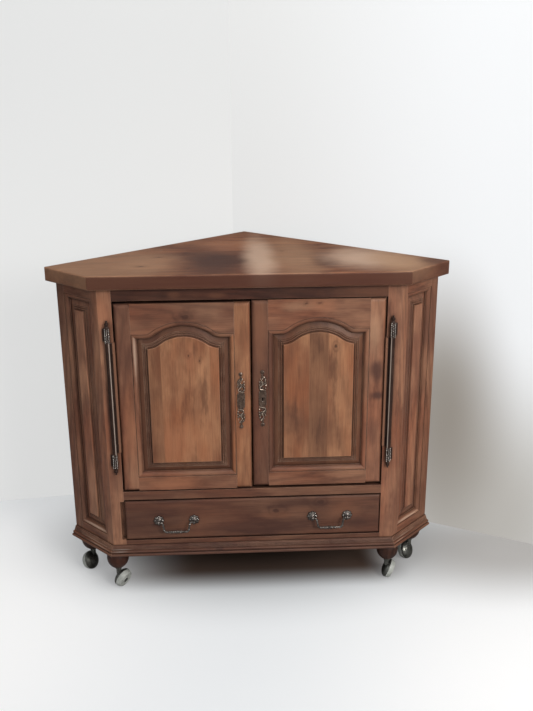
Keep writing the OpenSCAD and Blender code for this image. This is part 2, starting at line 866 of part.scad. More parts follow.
module meeting_stile(keyed) {
    translate([door_w, 0, 0]) mirror([1, 0, 0]) difference() {
        door_stile();
        if (keyed) translate([plate_in, -slack, plate_z]) key_cut(door_t + 2 * slack);
    }
}

// Keyhole through a plate or a stile
module key_cut(t) {
    rotate([-90, 0, 0]) cylinder(h = t, r = key_r, $fn = 32);
    block([-key_r / 2, 0, -key_r - 5], [key_r / 2, t, 0]);
}

key_r = 2.6;

module door_top_rail() {
    translate([door_w / 2, 0, 0]) {
        difference() {
            board(door_t) polygon(concat([[-arch_half, door_h], [-arch_half, shoulder_z]],
                arch_curve(blank_w), [[arch_half, shoulder_z], [arch_half, door_h]]));
            run_arch() stick_section();
            run_under(door_h, -arch_half - slack, arch_half + slack) thumb_section(2, 1.5);
        }
        for (side = [0, 1]) mirror([side, 0, 0])
            tenon(arch_half, arch_half + tenon_l, shoulder_z, door_h);
    }
}

module door_bottom_rail() {
    in_z = door_bottom_h + blank_w;
    translate([door_w / 2, 0, 0]) {
        difference() {
            board(door_t) polygon([[-arch_half, 0], [arch_half, 0], [arch_half, door_bottom_h],
                [arch_half - blank_w, in_z], [blank_w - arch_half, in_z], [-arch_half, door_bottom_h]]);
            run_over(door_bottom_h, -arch_half - slack, arch_half + slack) stick_section();
            run_over(0, -arch_half - slack, arch_half + slack) thumb_section(2, 1.5);
        }
        for (side = [0, 1]) mirror([side, 0, 0])
            tenon(arch_half, arch_half + tenon_l, 0, door_bottom_h);
    }
}

// Raised arched panel, loose in its grooves
module door_panel() {
    in = stick_w - groove_d + fit_gap;
    low = door_bottom_h + in;
    translate([door_w / 2, 0, 0]) difference() {
        board(groove_y + tongue_t - fit_gap - field_y, field_y)
            polygon(concat([[in - arch_half, low]], arch_curve(in), [[arch_half - in, low]]));
        run_up(-arch_half, 0, door_h) panel_section();
        run_up_back(arch_half, 0, door_h) panel_section();
        run_over(door_bottom_h, -arch_half, arch_half) panel_section();
        run_arch() panel_section();
    }
}

module door_left_hinge_stile() {
    color(wood) on_left_door() door_stile();
}

module door_left_meeting_stile() {
    color(wood) on_left_door() meeting_stile(false);
}

module door_left_top_rail() {
    color(wood) on_left_door() door_top_rail();
}

module door_left_bottom_rail() {
    color(wood) on_left_door() door_bottom_rail();
}

module door_left_panel() {
    color(wood_light) on_left_door() door_panel();
}

module door_right_hinge_stile() {
    color(wood) on_right_door() door_stile();
}

module door_right_meeting_stile() {
    color(wood) on_right_door() meeting_stile(true);
}

module door_right_top_rail() {
    color(wood) on_right_door() door_top_rail();
}

module door_right_bottom_rail() {
    color(wood) on_right_door() door_bottom_rail();
}

module door_right_panel() {
    color(wood_light) on_right_door() door_panel();
}

// Lock case behind the right door's meeting stile, with its bolt drawn back
module lock_case() {
    case = [34, 11, 62];
    color(iron) on_right_door() translate([door_w - plate_in - case[0] / 2, door_t, plate_z - case[2] / 2])
        difference() {
            union() {
                cube(case);
                translate([case[0] - 1, 2, case[2] / 2 - 8]) cube([5, 6, 16]);
            }
            translate([case[0] / 2, -slack, case[2] / 2]) key_cut(case[1] + 2 * slack);
        }
}

// Hinges

hinge_x = opening_w / 2 + hinge_out;
hinge_y = face_y - hinge_proud;
sleeve_z = door_sill_z + door_open_h / 2 + hinge_lift - sleeve_l / 2;
knuckle_gap = 0.4;
leaf_pin_r = 2.1;
leaf_pin_in = 3.6;
leaf_clear = 0.3;
leaf_y = face_y - leaf_t - leaf_clear;

// Plain sleeve that turns with the right door, its long leaf and two leaf pins
module hinge_sleeve() {
    z0 = sleeve_z + knuckle_gap;
    z1 = sleeve_z + sleeve_l - knuckle_gap;
    edge = opening_w / 2 - door_side_gap;
    stud_x = hinge_x - sleeve_r - leaf_pin_in;
    difference() {
        union() {
            translate([hinge_x, hinge_y, z0]) cylinder(h = z1 - z0, r = sleeve_r);
            block([edge, leaf_y, z0 + 2], [hinge_x, leaf_y + leaf_t, z1 - 2]);
            block([edge, leaf_y, z0 + 2], [edge + door_side_gap - leaf_clear, face_y + leaf_reach, z1 - 2]);
            for (z = [z0 + leaf_pin_z, z1 - leaf_pin_z])
                translate([stud_x, leaf_y + leaf_t / 2, z]) dome(leaf_pin_r, leaf_t / 2);
        }
        translate([hinge_x, hinge_y, z0 - slack])
            cylinder(h = z1 - z0 + 2 * slack, r = hinge_pin_r + run_gap);
    }
}

// Chased knuckle that stays on the post, from the end of the sleeve outwards
module knuckle() {
    r = sleeve_r;
    beads = 4;
    bead = knuckle_l / (beads + 2);
    bead_x = r + 0.7 - bead / 2;
    difference() {
        union() {
            rotate_extrude() polygon(concat([[0, 0], [r, 0], [r, bead / 2]],
                [for (k = [0:beads - 1]) each arc(bead_x, bead * (k + 1), bead / 2, -80, 80, 5)],
                [[r, knuckle_l - bead * 1.4], [r, knuckle_l - bead / 2], [r * 0.7, knuckle_l],
                [0, knuckle_l]]));
            block([0, hinge_proud - leaf_t, 3], [12, hinge_proud, knuckle_l - 4]);
            block([-1, 0, 3], [1, hinge_proud, knuckle_l - 4]);
        }
        translate([0, 0, -slack]) cylinder(h = knuckle_l + 2 * slack, r = hinge_pin_r + run_gap);
    }
}

// Turned finial over a knuckle
module finial() {
    r = sleeve_r;
    rotate_extrude() polygon(concat([[0, 0], [r * 0.8, 0], [r * 0.45, finial_l * 0.15]],
        arc(0, finial_l * 0.45, r * 0.85, -55, 60, 8),
        arc(0, finial_l * 0.86, finial_l * 0.14, -50, 90, 6)));
}

// Both knuckles of the right hinge and the pin that runs through the sleeve
module hinge_knuckles() {
    translate([hinge_x, hinge_y, sleeve_z]) {
        mirror([0, 0, 1]) knuckle();
        translate([0, 0, sleeve_l]) knuckle();
        translate([0, 0, -knuckle_l]) cylinder(h = sleeve_l + 2 * knuckle_l, r = hinge_pin_r);
        translate([0, 0, sleeve_l + knuckle_l]) finial();
        translate([0, 0, -knuckle_l]) mirror([0, 0, 1]) finial();
    }
}

module hinge_sleeve_right() {
    color(iron) hinge_sleeve();
}

module hinge_sleeve_left() {
    color(iron) on_left() hinge_sleeve();
}

module hinge_knuckles_right() {
    color(iron) hinge_knuckles();
}

module hinge_knuckles_left() {
    color(iron) on_left() hinge_knuckles();
}

// Escutcheons

// One curl of the openwork: part of a ring
module curl(x, z, r, w, a0, a1) {
    polygon(concat(arc(x, z, r, a0, a1, 14), arc(x, z, r - w, a1, a0, 14)));
}

// Openwork above the shield: two curls that turn against each other, and a knob
module openwork() {
    base = shield_h / 2 - 2;
    tip = plate_h / 2;
    h = tip - base;
    curl(-1, base + h * 0.22, h * 0.19, 2.4, -100, 150);
    curl(1, base + h * 0.55, h * 0.17, 2.4, 80, 330);
    curl(0, base + h * 0.4, h * 0.13, 2.2, -160, 20);
    translate([0, base + h * 0.72]) square([2.6, h * 0.24], center = true);
    translate([0, base + h * 0.08]) square([4, h * 0.2], center = true);
    translate([0, tip - 4.4]) circle(r = 4.4);
    translate([-7, base + h * 0.5]) circle(r = 2);
    translate([-5.6, base + h * 0.44]) square([5, 1.6], center = true);
    translate([7.4, base + h * 0.3]) circle(r = 2);
    translate([6.6, base + h * 0.28]) square([3, 1.6], center = true);
}

// Pierced long plate on a meeting stile
module escutcheon(keyed) {
    beads = [[0, plate_h / 2 - 4.4, 3.4], [-7, plate_h * 0.31, 1.8], [7.4, plate_h * 0.24, 1.8]];
    translate([door_w - plate_in, 0, plate_z]) difference() {
        union() {
            board(plate_t, -plate_t) {
                square([shield_w, shield_h - 8], center = true);
                square([shield_w - 6, shield_h], center = true);
                openwork();
                rotate(180) openwork();
            }
            for (turn = [0, 180], b = beads) rotate([0, turn, 0]) translate([b[0], -plate_t / 2, b[1]])
                dome(b[2], plate_t / 2);
        }
        if (keyed) translate([0, -plate_t - slack, 0]) key_cut(plate_t + 2 * slack);
    }
}

module escutcheon_left() {
    color(iron) on_left_door() escutcheon(false);
}

module escutcheon_right() {
    color(iron) on_right_door() escutcheon(true);
}

// Drawer

drawer_front_h = drawer_open_h - drawer_top_gap - drawer_foot_gap;
drawer_side_h = drawer_front_h - drawer_side_drop;
drawer_x = opening_w / 2 - drawer_side_gap;
drawer_z = drawer_sill_z + drawer_foot_gap;
box_x = opening_w / 2 - drawer_side_in;
box_z = drawer_sill_z + 0.5;
side_len_y = [face_y + drawer_front_t, face_y + drawer_depth];

module drawer_front() {
    w = drawer_thumb_w;
    d = drawer_thumb_d;
    z1 = drawer_front_h;
    color(wood) translate([0, face_y, drawer_z]) difference() {
        block([-drawer_x, 0, 0], [drawer_x, drawer_front_t, z1]);
        run_up(-drawer_x, -slack, z1 + slack) thumb_section(w, d);
        run_up_back(drawer_x, -slack, z1 + slack) thumb_section(w, d);
        run_over(0, -drawer_x, drawer_x) thumb_section(w, d);
        run_under(z1, -drawer_x, drawer_x) thumb_section(w, d);
        translate([0, -face_y, -drawer_z]) bottom_sheet(fit_gap);
    }
}

// The thin drawer bottom, or with a gap the grooves that hold it
module bottom_sheet(gap) {
    x = box_x - drawer_side_t / 2;
    z = box_z + drawer_bottom_z;
    block([-x - gap, side_len_y[0] - 5 - gap, z - gap],
        [x + gap, side_len_y[1] + (gap > 0 ? slack : 0), z + drawer_bottom_t + gap]);
}

module drawer_side() {
    difference() {
        block([box_x - drawer_side_t, side_len_y[0], box_z], [box_x, side_len_y[1], box_z + drawer_side_h]);
        bottom_sheet(fit_gap);
    }
}

module drawer_side_right() {
    color(wood_light) drawer_side();
}

module drawer_side_left() {
    color(wood_light) on_left() drawer_side();
}

module drawer_back() {
    x = box_x - drawer_side_t;
    color(wood_light) block([-x, side_len_y[1] - drawer_side_t,
        box_z + drawer_bottom_z + drawer_bottom_t + fit_gap],
        [x, side_len_y[1], box_z + drawer_side_h - 6]);
}

module drawer_bottom() {
    color(wood_light) bottom_sheet(0);
}

// Runners on the base board, each with a guide beside the drawer
module drawer_runners() {
    out = box_x + 0.5;
    guide = 12;
    y0 = front_post(0)[3][1];
    y1 = front_y + depth - (overhang_back + back_t) * root2 - out - guide - 0.3;
    color(wood_light) both_sides() {
        block([out + guide - runner_w, y0, carcass_z], [out + guide, y1, box_z - 0.3]);
        block([out, y0, box_z - 0.3 - slack], [out + guide, y1, box_z + guide_h]);
    }
}

// Pulls

pull_y = face_y - pull_out;
pull_axis_z = drawer_z + pull_z;

// Four flower rosettes with bored posts, screwed to the drawer front
module pull_rosettes() {
    ring = rosette_r - 4;
    petal_r = ring * sin(180 / petals) - 0.3;
    color(iron) for (side = [-1, 1], end = [-1, 1])
        translate([side * pull_x + end * pull_span / 2, face_y, pull_axis_z]) difference() {
            union() {
                rotate([90, 0, 0]) rotate_extrude() polygon(concat([[0, 0], [rosette_r - 2, 0],
                    [rosette_r - 3, 2], [ring - 1, 3], [pull_post_r + 2.5, 6], [pull_post_r - 0.5, 7.5],
                    [pull_post_r - 0.8, pull_out - 5]],
                    arc(0, pull_out, pull_post_r + 0.6, -48, 90, 9)));
                for (k = [0:petals - 1])
                    rotate([0, k * 360 / petals, 0]) translate([ring, 0, 0]) dome(petal_r, 1);
            }
            translate([-8, -pull_out, 0]) rotate([0, 90, 0]) cylinder(h = 16, r = bail_pin_r + run_gap);
        }
}

bail_ring = 0.5;
bail_ring_w = 1.2;

// Bent piece of round wire in the XZ plane
module bend(x, z, r, a0, sweep) {
    translate([x, 0, z]) rotate([90, 0, 0]) rotate([0, 0, a0]) rotate_extrude(angle = sweep)
        translate([r, 0]) circle(r = bail_r, $fn = 32);
}

// Swan-neck bail about its own axis: pins, two S-shaped legs and a turned bar
module bail() {
    r1 = 6;
    r2 = 7;
    start = pull_span / 2 - pull_post_r - 0.9;
    fall = bail_drop - (r1 + r2) * (1 - cos(bail_slope));
    straight = fall / sin(bail_slope);
    p1 = [start - r1 * sin(bail_slope), -r1 * (1 - cos(bail_slope))];
    p2 = p1 - straight * [cos(bail_slope), sin(bail_slope)];
    p3 = [p2[0] - r2 * sin(bail_slope), p2[1] - r2 * (1 - cos(bail_slope))];
    for (side = [0, 1]) mirror([side, 0, 0]) {
        translate([start - 1, 0, 0]) rotate([0, 90, 0])
            cylinder(h = pull_post_r + 6, r = bail_pin_r, $fn = 32);
        bend(start, -r1, r1, 90, bail_slope);
        translate([p1[0], 0, p1[1]]) rotate([0, -90 - bail_slope, 0])
            cylinder(h = straight, r = bail_r, $fn = 32);
        bend(p3[0], p3[1] + r2, r2, -90, bail_slope);
        for (p = [p1, p2]) translate([p[0], 0, p[1]]) rotate([0, -90 - bail_slope, 0])
            cylinder(h = bail_ring_w, r = bail_r + bail_ring, center = true, $fn = 32);
        bar_half(p3[0], p3[1]);
    }
}

// Half of the turned bar, from the middle to its end
module bar_half(x, z) {
    end = x + bail_ring_w / 2;
    translate([0, 0, z]) rotate([0, 90, 0]) rotate_extrude() polygon(concat([[0, 0], [3.6, 0], [3.6, 1.5]],
        arc(bail_r, 3.2, 1.6, -80, 80, 6), arc(bail_r - 0.2, x * 0.5, 1.9, -80, 80, 6),
        [[bail_r, x * 0.5 + 2.2], [bail_r, end - bail_ring_w], [bail_r + bail_ring, end - bail_ring_w],
        [bail_r + bail_ring, end], [0, end]]));
}

module bail_at(side) {
    color(iron) translate([side * pull_x, pull_y, pull_axis_z]) bail();
}

module bail_left() {
    bail_at(-1);
}

module bail_right() {
    bail_at(1);
}

top_slab();
post_front_left();
post_front_right();
post_rear_left();
post_rear_right();
post_apex();
return_top_rail_left();
return_top_rail_right();
return_bottom_rail_left();
return_bottom_rail_right();
return_panel_left();
return_panel_right();
frieze_rail();
mid_rail();
bottom_rail();
base_moulding_front();
base_moulding_left();
base_moulding_right();
base_board();
floor_board();
back_board_left();
back_board_right();
drawer_runners();
bun_feet();
caster_sockets();
door_left_hinge_stile();
door_left_meeting_stile();
door_left_top_rail();
door_left_bottom_rail();
door_left_panel();
escutcheon_left();
hinge_sleeve_left();
door_right_hinge_stile();
door_right_meeting_stile();
door_right_top_rail();
door_right_bottom_rail();
door_right_panel();
escutcheon_right();
hinge_sleeve_right();
lock_case();
hinge_knuckles_left();
hinge_knuckles_right();
drawer_front();
drawer_side_left();
drawer_side_right();
drawer_back();
drawer_bottom();
pull_rosettes();
bail_left();
bail_right();
caster_hood(0);  // caster_hood_front_left
caster_hood(1);  // caster_hood_front_right
caster_hood(2);  // caster_hood_rear_left
caster_hood(3);  // caster_hood_rear_right
caster_hood(4);  // caster_hood_apex
caster_wheel(0);  // caster_wheel_front_left
caster_wheel(1);  // caster_wheel_front_right
caster_wheel(2);  // caster_wheel_rear_left
caster_wheel(3);  // caster_wheel_rear_right
caster_wheel(4);  // caster_wheel_apex
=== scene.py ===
import math
import bpy
import bmesh
from mathutils import Euler, Matrix, Vector


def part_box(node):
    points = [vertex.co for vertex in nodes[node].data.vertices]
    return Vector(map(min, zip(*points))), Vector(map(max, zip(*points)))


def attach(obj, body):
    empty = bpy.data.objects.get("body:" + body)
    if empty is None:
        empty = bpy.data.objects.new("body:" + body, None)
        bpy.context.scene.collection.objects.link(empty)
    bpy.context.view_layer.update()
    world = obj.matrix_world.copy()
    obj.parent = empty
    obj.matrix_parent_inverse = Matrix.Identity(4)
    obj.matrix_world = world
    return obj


print("corner cabinet: loading the packed model")
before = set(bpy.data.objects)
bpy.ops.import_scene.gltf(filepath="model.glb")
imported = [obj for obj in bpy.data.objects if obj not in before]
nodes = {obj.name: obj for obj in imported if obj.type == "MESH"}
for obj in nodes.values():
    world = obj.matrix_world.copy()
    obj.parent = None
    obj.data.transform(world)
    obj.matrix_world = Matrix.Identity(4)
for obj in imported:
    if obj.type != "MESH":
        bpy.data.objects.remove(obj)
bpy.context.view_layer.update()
scene = bpy.context.scene


# Camera, fitted to the photograph
cameraSettings = {
    "place": (-0.0528, -2.1934, 1.2507),
    "yaw": 0.047, "pitch": -0.308, "roll": -0.007,
    "lens": 55.86, "sensor": 36.0,
}


def makeCamera(settings):
    yaw, pitch, roll = settings["yaw"], settings["pitch"], settings["roll"]
    ahead = Vector((math.sin(yaw) * math.cos(pitch), math.cos(yaw) * math.cos(pitch), math.sin(pitch)))
    right = ahead.cross(Vector((0, 0, 1))).normalized()
    up = right.cross(ahead)
    rolledRight = math.cos(roll) * right + math.sin(roll) * up
    rolledUp = -math.sin(roll) * right + math.cos(roll) * up
    camera = bpy.data.objects.new("photoCamera", bpy.data.cameras.new("photoCamera"))
    turned = Matrix((rolledRight, rolledUp, -ahead)).transposed().to_4x4()
    camera.matrix_world = Matrix.Translation(settings["place"]) @ turned
    camera.data.sensor_fit = "HORIZONTAL"
    camera.data.sensor_width = settings["sensor"]
    camera.data.lens = settings["lens"]
    scene.collection.objects.link(camera)
    scene.camera = camera


makeCamera(cameraSettings)
print("corner cabinet: camera placed")


# Small helpers for shader trees
def newGroup(name, vectorsIn, numbersIn, numbersOut, vectorsOut=()):
    tree = bpy.data.node_groups.new(name, "ShaderNodeTree")
    for labels, way, kind in ((vectorsIn, "INPUT", "Vector"), (numbersIn, "INPUT", "Float"),
                              (numbersOut, "OUTPUT", "Float"), (vectorsOut, "OUTPUT", "Vector")):
        for label in labels:
            tree.interface.new_socket(name=label, in_out=way, socket_type="NodeSocket" + kind)
    return tree, tree.nodes.new("NodeGroupInput").outputs, tree.nodes.new("NodeGroupOutput").inputs


def plug(tree, value, socket):
    # a socket is linked, and a number, vector or colour is written on the socket itself
    if isinstance(value, bpy.types.NodeSocket):
        tree.links.new(value, socket)
    else:
        socket.default_value = (*value, 1.0) if socket.type == "RGBA" else value


def fill(tree, node, **values):
    for label, value in values.items():
        plug(tree, value, node.inputs[label.replace("_", " ")])


def sums(tree, operation, *values):
    node = tree.nodes.new("ShaderNodeMath")
    node.operation = operation
    for value, socket in zip(values, node.inputs):
        plug(tree, value, socket)
    return node.outputs[0]


def plus(tree, first, second):
    return sums(tree, "ADD", first, second)


def minus(tree, first, second):
    return sums(tree, "SUBTRACT", first, second)


def times(tree, first, second):
    return sums(tree, "MULTIPLY", first, second)


def combine(tree, operation, values):
    result = values[0]
    for value in values[1:]:
        result = sums(tree, operation, result, value)
    return result


def vectors(tree, operation, *values):
    node = tree.nodes.new("ShaderNodeVectorMath")
    node.operation = operation
    for value, socket in zip(values, node.inputs):
        plug(tree, value, socket)
    return node.outputs["Value" if operation in ("LENGTH", "DOT_PRODUCT") else "Vector"]


def scaled(tree, vector, factor):
    node = tree.nodes.new("ShaderNodeVectorMath")
    node.operation = "SCALE"
    fill(tree, node, Vector=vector, Scale=factor)
    return node.outputs["Vector"]


def alongGrain(tree, vector, share):
    # a share below one draws a pattern out along the grain
    return vectors(tree, "MULTIPLY", vector, (1.0, 1.0, share))


def splitVector(tree, vector):
    node = tree.nodes.new("ShaderNodeSeparateXYZ")
    plug(tree, vector, node.inputs[0])
    return node.outputs


def joinVector(tree, x, y, z):
    node = tree.nodes.new("ShaderNodeCombineXYZ")
    for value, socket in zip((x, y, z), node.inputs):
        plug(tree, value, socket)
    return node.outputs[0]


def noise(tree, vector, scale, detail=3.0, roughness=0.55, colour=False):
    node = tree.nodes.new("ShaderNodeTexNoise")
    fill(tree, node, Vector=vector, Scale=scale, Detail=detail, Roughness=roughness)
    return node.outputs["Color" if colour else "Fac"]


def wobble(tree, vector, scale, detail, roughness):
    # a random vector with its middle at zero
    pattern = noise(tree, vector, scale, detail, roughness, colour=True)
    return vectors(tree, "SUBTRACT", pattern, (0.5, 0.5, 0.5))


def spread(tree, value, low, high, toLow=0.0, toHigh=1.0):
    node = tree.nodes.new("ShaderNodeMapRange")
    node.interpolation_type = "SMOOTHSTEP"
    for item, socket in zip((value, low, high, toLow, toHigh), node.inputs):
        plug(tree, item, socket)
    return node.outputs["Result"]


def blendColours(tree, share, first, second, mode="MIX"):
    node = tree.nodes.new("ShaderNodeMix")
    node.data_type, node.blend_type = "RGBA", mode
    plug(tree, share, node.inputs["Factor"])
    # sockets 6, 7 and 2 of a mix node are its A, B and Result for colours
    plug(tree, first, node.inputs[6])
    plug(tree, second, node.inputs[7])
    return node.outputs[2]


def paint(tree, colour, layers):
    for share, tone in layers:
        colour = blendColours(tree, share, colour, tone)
    return colour


# Wood figure: growth rings cut through by the board, fine fibres and cloudy stain
# a noise has its scale, detail and roughness, and the other pairs and fours say how a value is spread
grainSettings = {
    "seedShift": (3.17, 1.73, 5.31), "longStretch": 0.14, "bendNoise": (8.0, 2.0, 0.5),
    "heartSwing": 2.3, "heartReach": 0.03, "heartSlope": 0.11, "heartDepth": 0.055,
    "fineNoise": (26.0, 3.0, 0.6), "fine": 1.1, "ringSharpness": 1.7,
    "strengthNoise": (13.0, 2.0, 0.5), "strength": (0.35, 0.65, 0.25, 1.0), "fibreStretch": 0.025,
    "fibreNoise": (620.0, 3.0, 0.65), "poreNoise": (1500.0, 1.0, 0.5), "pores": (0.62, 0.74),
    "cloudStretch": 0.42, "cloudNoise": (13.0, 4.0, 0.62), "clouds": (0.34, 0.68),
}


def makeGrainFigure(settings):
    tree, takes, gives = newGroup("grainFigure", ["Vector"], ["Ring Spacing", "Wander", "Pull", "Seed"],
                                  ["Rings", "Fibre", "Cloud", "Pores"])
    seed = takes["Seed"]
    shift = joinVector(tree, *[times(tree, seed, part) for part in settings["seedShift"]])
    moved = vectors(tree, "ADD", takes["Vector"], shift)
    long = alongGrain(tree, moved, settings["longStretch"])
    bend = scaled(tree, wobble(tree, long, *settings["bendNoise"]), takes["Wander"])
    x, y, z = splitVector(tree, vectors(tree, "ADD", takes["Vector"], bend))
    # the heart of the tree lies behind the board and slopes a little along it, which draws cathedral arches
    swing = sums(tree, "SINE", times(tree, seed, settings["heartSwing"]))
    across = plus(tree, x, times(tree, swing, settings["heartReach"]))
    deep = plus(tree, plus(tree, y, times(tree, z, settings["heartSlope"])), settings["heartDepth"])
    far = sums(tree, "SQRT", plus(tree, times(tree, across, across), times(tree, deep, deep)))
    turnsOut = plus(tree, sums(tree, "DIVIDE", far, takes["Ring Spacing"]), takes["Pull"])
    fine = times(tree, noise(tree, long, *settings["fineNoise"]), settings["fine"])
    phase = plus(tree, turnsOut, fine)
    wave = plus(tree, times(tree, sums(tree, "COSINE", times(tree, phase, math.tau)), 0.5), 0.5)
    strength = spread(tree, noise(tree, long, *settings["strengthNoise"]), *settings["strength"])
    rings = times(tree, sums(tree, "POWER", wave, settings["ringSharpness"]), strength)
    plug(tree, rings, gives["Rings"])
    fibreSpace = alongGrain(tree, moved, settings["fibreStretch"])
    plug(tree, noise(tree, fibreSpace, *settings["fibreNoise"]), gives["Fibre"])
    pores = noise(tree, fibreSpace, *settings["poreNoise"])
    plug(tree, spread(tree, pores, *settings["pores"]), gives["Pores"])
    cloud = noise(tree, alongGrain(tree, moved, settings["cloudStretch"]), *settings["cloudNoise"])
    plug(tree, spread(tree, cloud, *settings["clouds"]), gives["Cloud"])
    return tree


# One knot: a dark eye, a stained halo, and a pull that makes the rings run round it
knotSettings = {"edgeNoise": (70.0, 3.0, 0.6), "edge": 0.012, "squash": 0.62, "eye": (1.15, 0.55),
                "halo": (4.2, 0.8), "bell": -0.16, "pull": 1.6}


def makeKnotEye(settings):
    tree, takes, gives = newGroup("knotEye", ["Vector", "Centre"], ["Size"], ["Eye", "Halo", "Pull"])
    away = vectors(tree, "SUBTRACT", takes["Vector"], takes["Centre"])
    rough = wobble(tree, takes["Vector"], *settings["edgeNoise"])
    uneven = vectors(tree, "ADD", vectors(tree, "MULTIPLY", away, (1.0, 0.0, settings["squash"])),
                     vectors(tree, "MULTIPLY", rough, (settings["edge"], 0.0, settings["edge"])))
    reach = sums(tree, "DIVIDE", vectors(tree, "LENGTH", uneven), takes["Size"])
    plug(tree, spread(tree, reach, *settings["eye"]), gives["Eye"])
    plug(tree, spread(tree, reach, *settings["halo"]), gives["Halo"])
    bell = sums(tree, "EXPONENT", times(tree, times(tree, reach, reach), settings["bell"]))
    plug(tree, times(tree, bell, settings["pull"]), gives["Pull"])
    return tree


# A panel or top glued up from boards: each has its own tone and its own place in the tree
boardSettings = {"waveNoise": (3.0, 1.0), "wave": 0.002, "jump": (0.09, 0.05, 2.7),
                 "joint": (0.0012, 0.0002)}


def makeGluedBoards(settings):
    tree, takes, gives = newGroup("gluedBoards", ["Vector"], ["Board Width", "Shift", "Seed"],
                                  ["Tone", "Joint"], ["Vector"])
    across = plus(tree, splitVector(tree, takes["Vector"])[0], takes["Shift"])
    wave = times(tree, noise(tree, takes["Vector"], *settings["waveNoise"]), settings["wave"])
    place = sums(tree, "DIVIDE", plus(tree, across, wave), takes["Board Width"])
    chance = tree.nodes.new("ShaderNodeTexWhiteNoise")
    chance.noise_dimensions = "2D"
    plug(tree, joinVector(tree, sums(tree, "FLOOR", place), takes["Seed"], 0.0), chance.inputs["Vector"])
    tone = chance.outputs["Value"]
    sideways, deeper, lengthways = settings["jump"]
    jump = joinVector(tree, times(tree, minus(tree, tone, 0.5), sideways), times(tree, tone, deeper),
                      times(tree, tone, lengthways))
    plug(tree, vectors(tree, "ADD", takes["Vector"], jump), gives["Vector"])
    plug(tree, tone, gives["Tone"])
    part = sums(tree, "FRACT", place)
    edge = times(tree, sums(tree, "MINIMUM", part, minus(tree, 1.0, part)), takes["Board Width"])
    plug(tree, spread(tree, edge, *settings["joint"]), gives["Joint"])
    return tree


# One board of a glued-up panel, as a band across it
stripSettings = {"edge": 0.0007}


def makeStripBand(settings):
    tree, takes, gives = newGroup("stripBand", [], ["Across", "From", "To"], ["Mask"])
    inside = sums(tree, "MINIMUM", minus(tree, takes["Across"], takes["From"]),
                  minus(tree, takes["To"], takes["Across"]))
    plug(tree, spread(tree, inside, -settings["edge"], settings["edge"]), gives["Mask"])
    return tree


# A soft patch of paler or darker finish with an uneven edge
patchSettings = {"edgeNoise": (16.0, 3.0, 0.6), "fade": (1.3, 0.25)}


def makeSoftPatch(settings):
    tree, takes, gives = newGroup("softPatch", ["Vector", "Centre", "Reach"], ["Uneven"], ["Mask"])
    away = vectors(tree, "SUBTRACT", takes["Vector"], takes["Centre"])
    rough = scaled(tree, wobble(tree, takes["Vector"], *settings["edgeNoise"]), takes["Uneven"])
    uneven = vectors(tree, "ADD", vectors(tree, "DIVIDE", away, takes["Reach"]), rough)
    far = vectors(tree, "LENGTH", uneven)
    plug(tree, spread(tree, far, *settings["fade"]), gives["Mask"])
    return tree


# Wear and painted light: stain and wax that gather in the hollows, darkened further as painted shade where
# the surface is hemmed in, and arrises rubbed lighter, partly as painted highlights
wearShadeSettings = {
    "hollowSamples": 6, "hollow": (0.92, 0.38), "patchNoise": (24.0, 4.0, 0.6),
    "grimeAndShadePatches": (0.25, 0.6, 0.6, 1.0), "cornerSamples": 5, "kept": 0.65, "turned": (0.012, 0.13),
    "rubAndHighlightPatches": (0.34, 0.56, 0.15, 1.0),
}


def makeEdgeWearAndShade(settings):
    tree, takes, gives = newGroup("edgeWearAndShade", ["Vector"], ["Reach", "Corner", "Seed"], ["Grime", "RubAndHighlight"],
                                  ["Normal"])
    # ambient occlusion finds the hollows, where grime and painted shade go
    shade = tree.nodes.new("ShaderNodeAmbientOcclusion")
    shade.samples = settings["hollowSamples"]
    plug(tree, takes["Reach"], shade.inputs["Distance"])
    hollow = spread(tree, shade.outputs["AO"], *settings["hollow"])
    moved = vectors(tree, "ADD", takes["Vector"], joinVector(tree, takes["Seed"], 0.0, 0.0))
    patchy = noise(tree, moved, *settings["patchNoise"])
    plug(tree, times(tree, hollow, spread(tree, patchy, *settings["grimeAndShadePatches"])), gives["Grime"])
    # the arrises, where rubbed wear and painted highlights go
    soft = tree.nodes.new("ShaderNodeBevel")
    soft.samples = settings["cornerSamples"]
    plug(tree, takes["Corner"], soft.inputs["Radius"])
    here = tree.nodes.new("ShaderNodeNewGeometry").outputs["Normal"]
    turned = minus(tree, 1.0, vectors(tree, "DOT_PRODUCT", soft.outputs["Normal"], here))
    clear = minus(tree, 1.0, times(tree, hollow, settings["kept"]))
    arris = times(tree, spread(tree, turned, *settings["turned"]), clear)
    plug(tree, times(tree, arris, spread(tree, patchy, *settings["rubAndHighlightPatches"])), gives["RubAndHighlight"])
    plug(tree, soft.outputs["Normal"], gives["Normal"])
    return tree


# Old metal: pits, dull patina in patches, and fine scratches
agedSettings = {"patina": (0.35, 0.68), "pitNoise": (850.0, 2.0, 0.5), "pits": (0.56, 0.72),
                "scratchStretch": 0.07, "scratchNoise": (900.0, 2.0, 0.6), "scratches": (0.55, 0.75)}


def makeOldMetal(settings):
    tree, takes, gives = newGroup("oldMetal", ["Vector"], ["Patch Size", "Seed"],
                                  ["Patina", "Pits", "Scuffs"])
    moved = vectors(tree, "ADD", takes["Vector"], joinVector(tree, takes["Seed"], takes["Seed"], 0.0))
    patina = noise(tree, moved, takes["Patch Size"], 5.0, 0.65)
    plug(tree, spread(tree, patina, *settings["patina"]), gives["Patina"])
    pits = noise(tree, moved, *settings["pitNoise"])
    plug(tree, spread(tree, pits, *settings["pits"]), gives["Pits"])
    scratched = alongGrain(tree, moved, settings["scratchStretch"])
    scuffs = noise(tree, scratched, *settings["scratchNoise"])
    plug(tree, spread(tree, scuffs, *settings["scratches"]), gives["Scuffs"])
    return tree


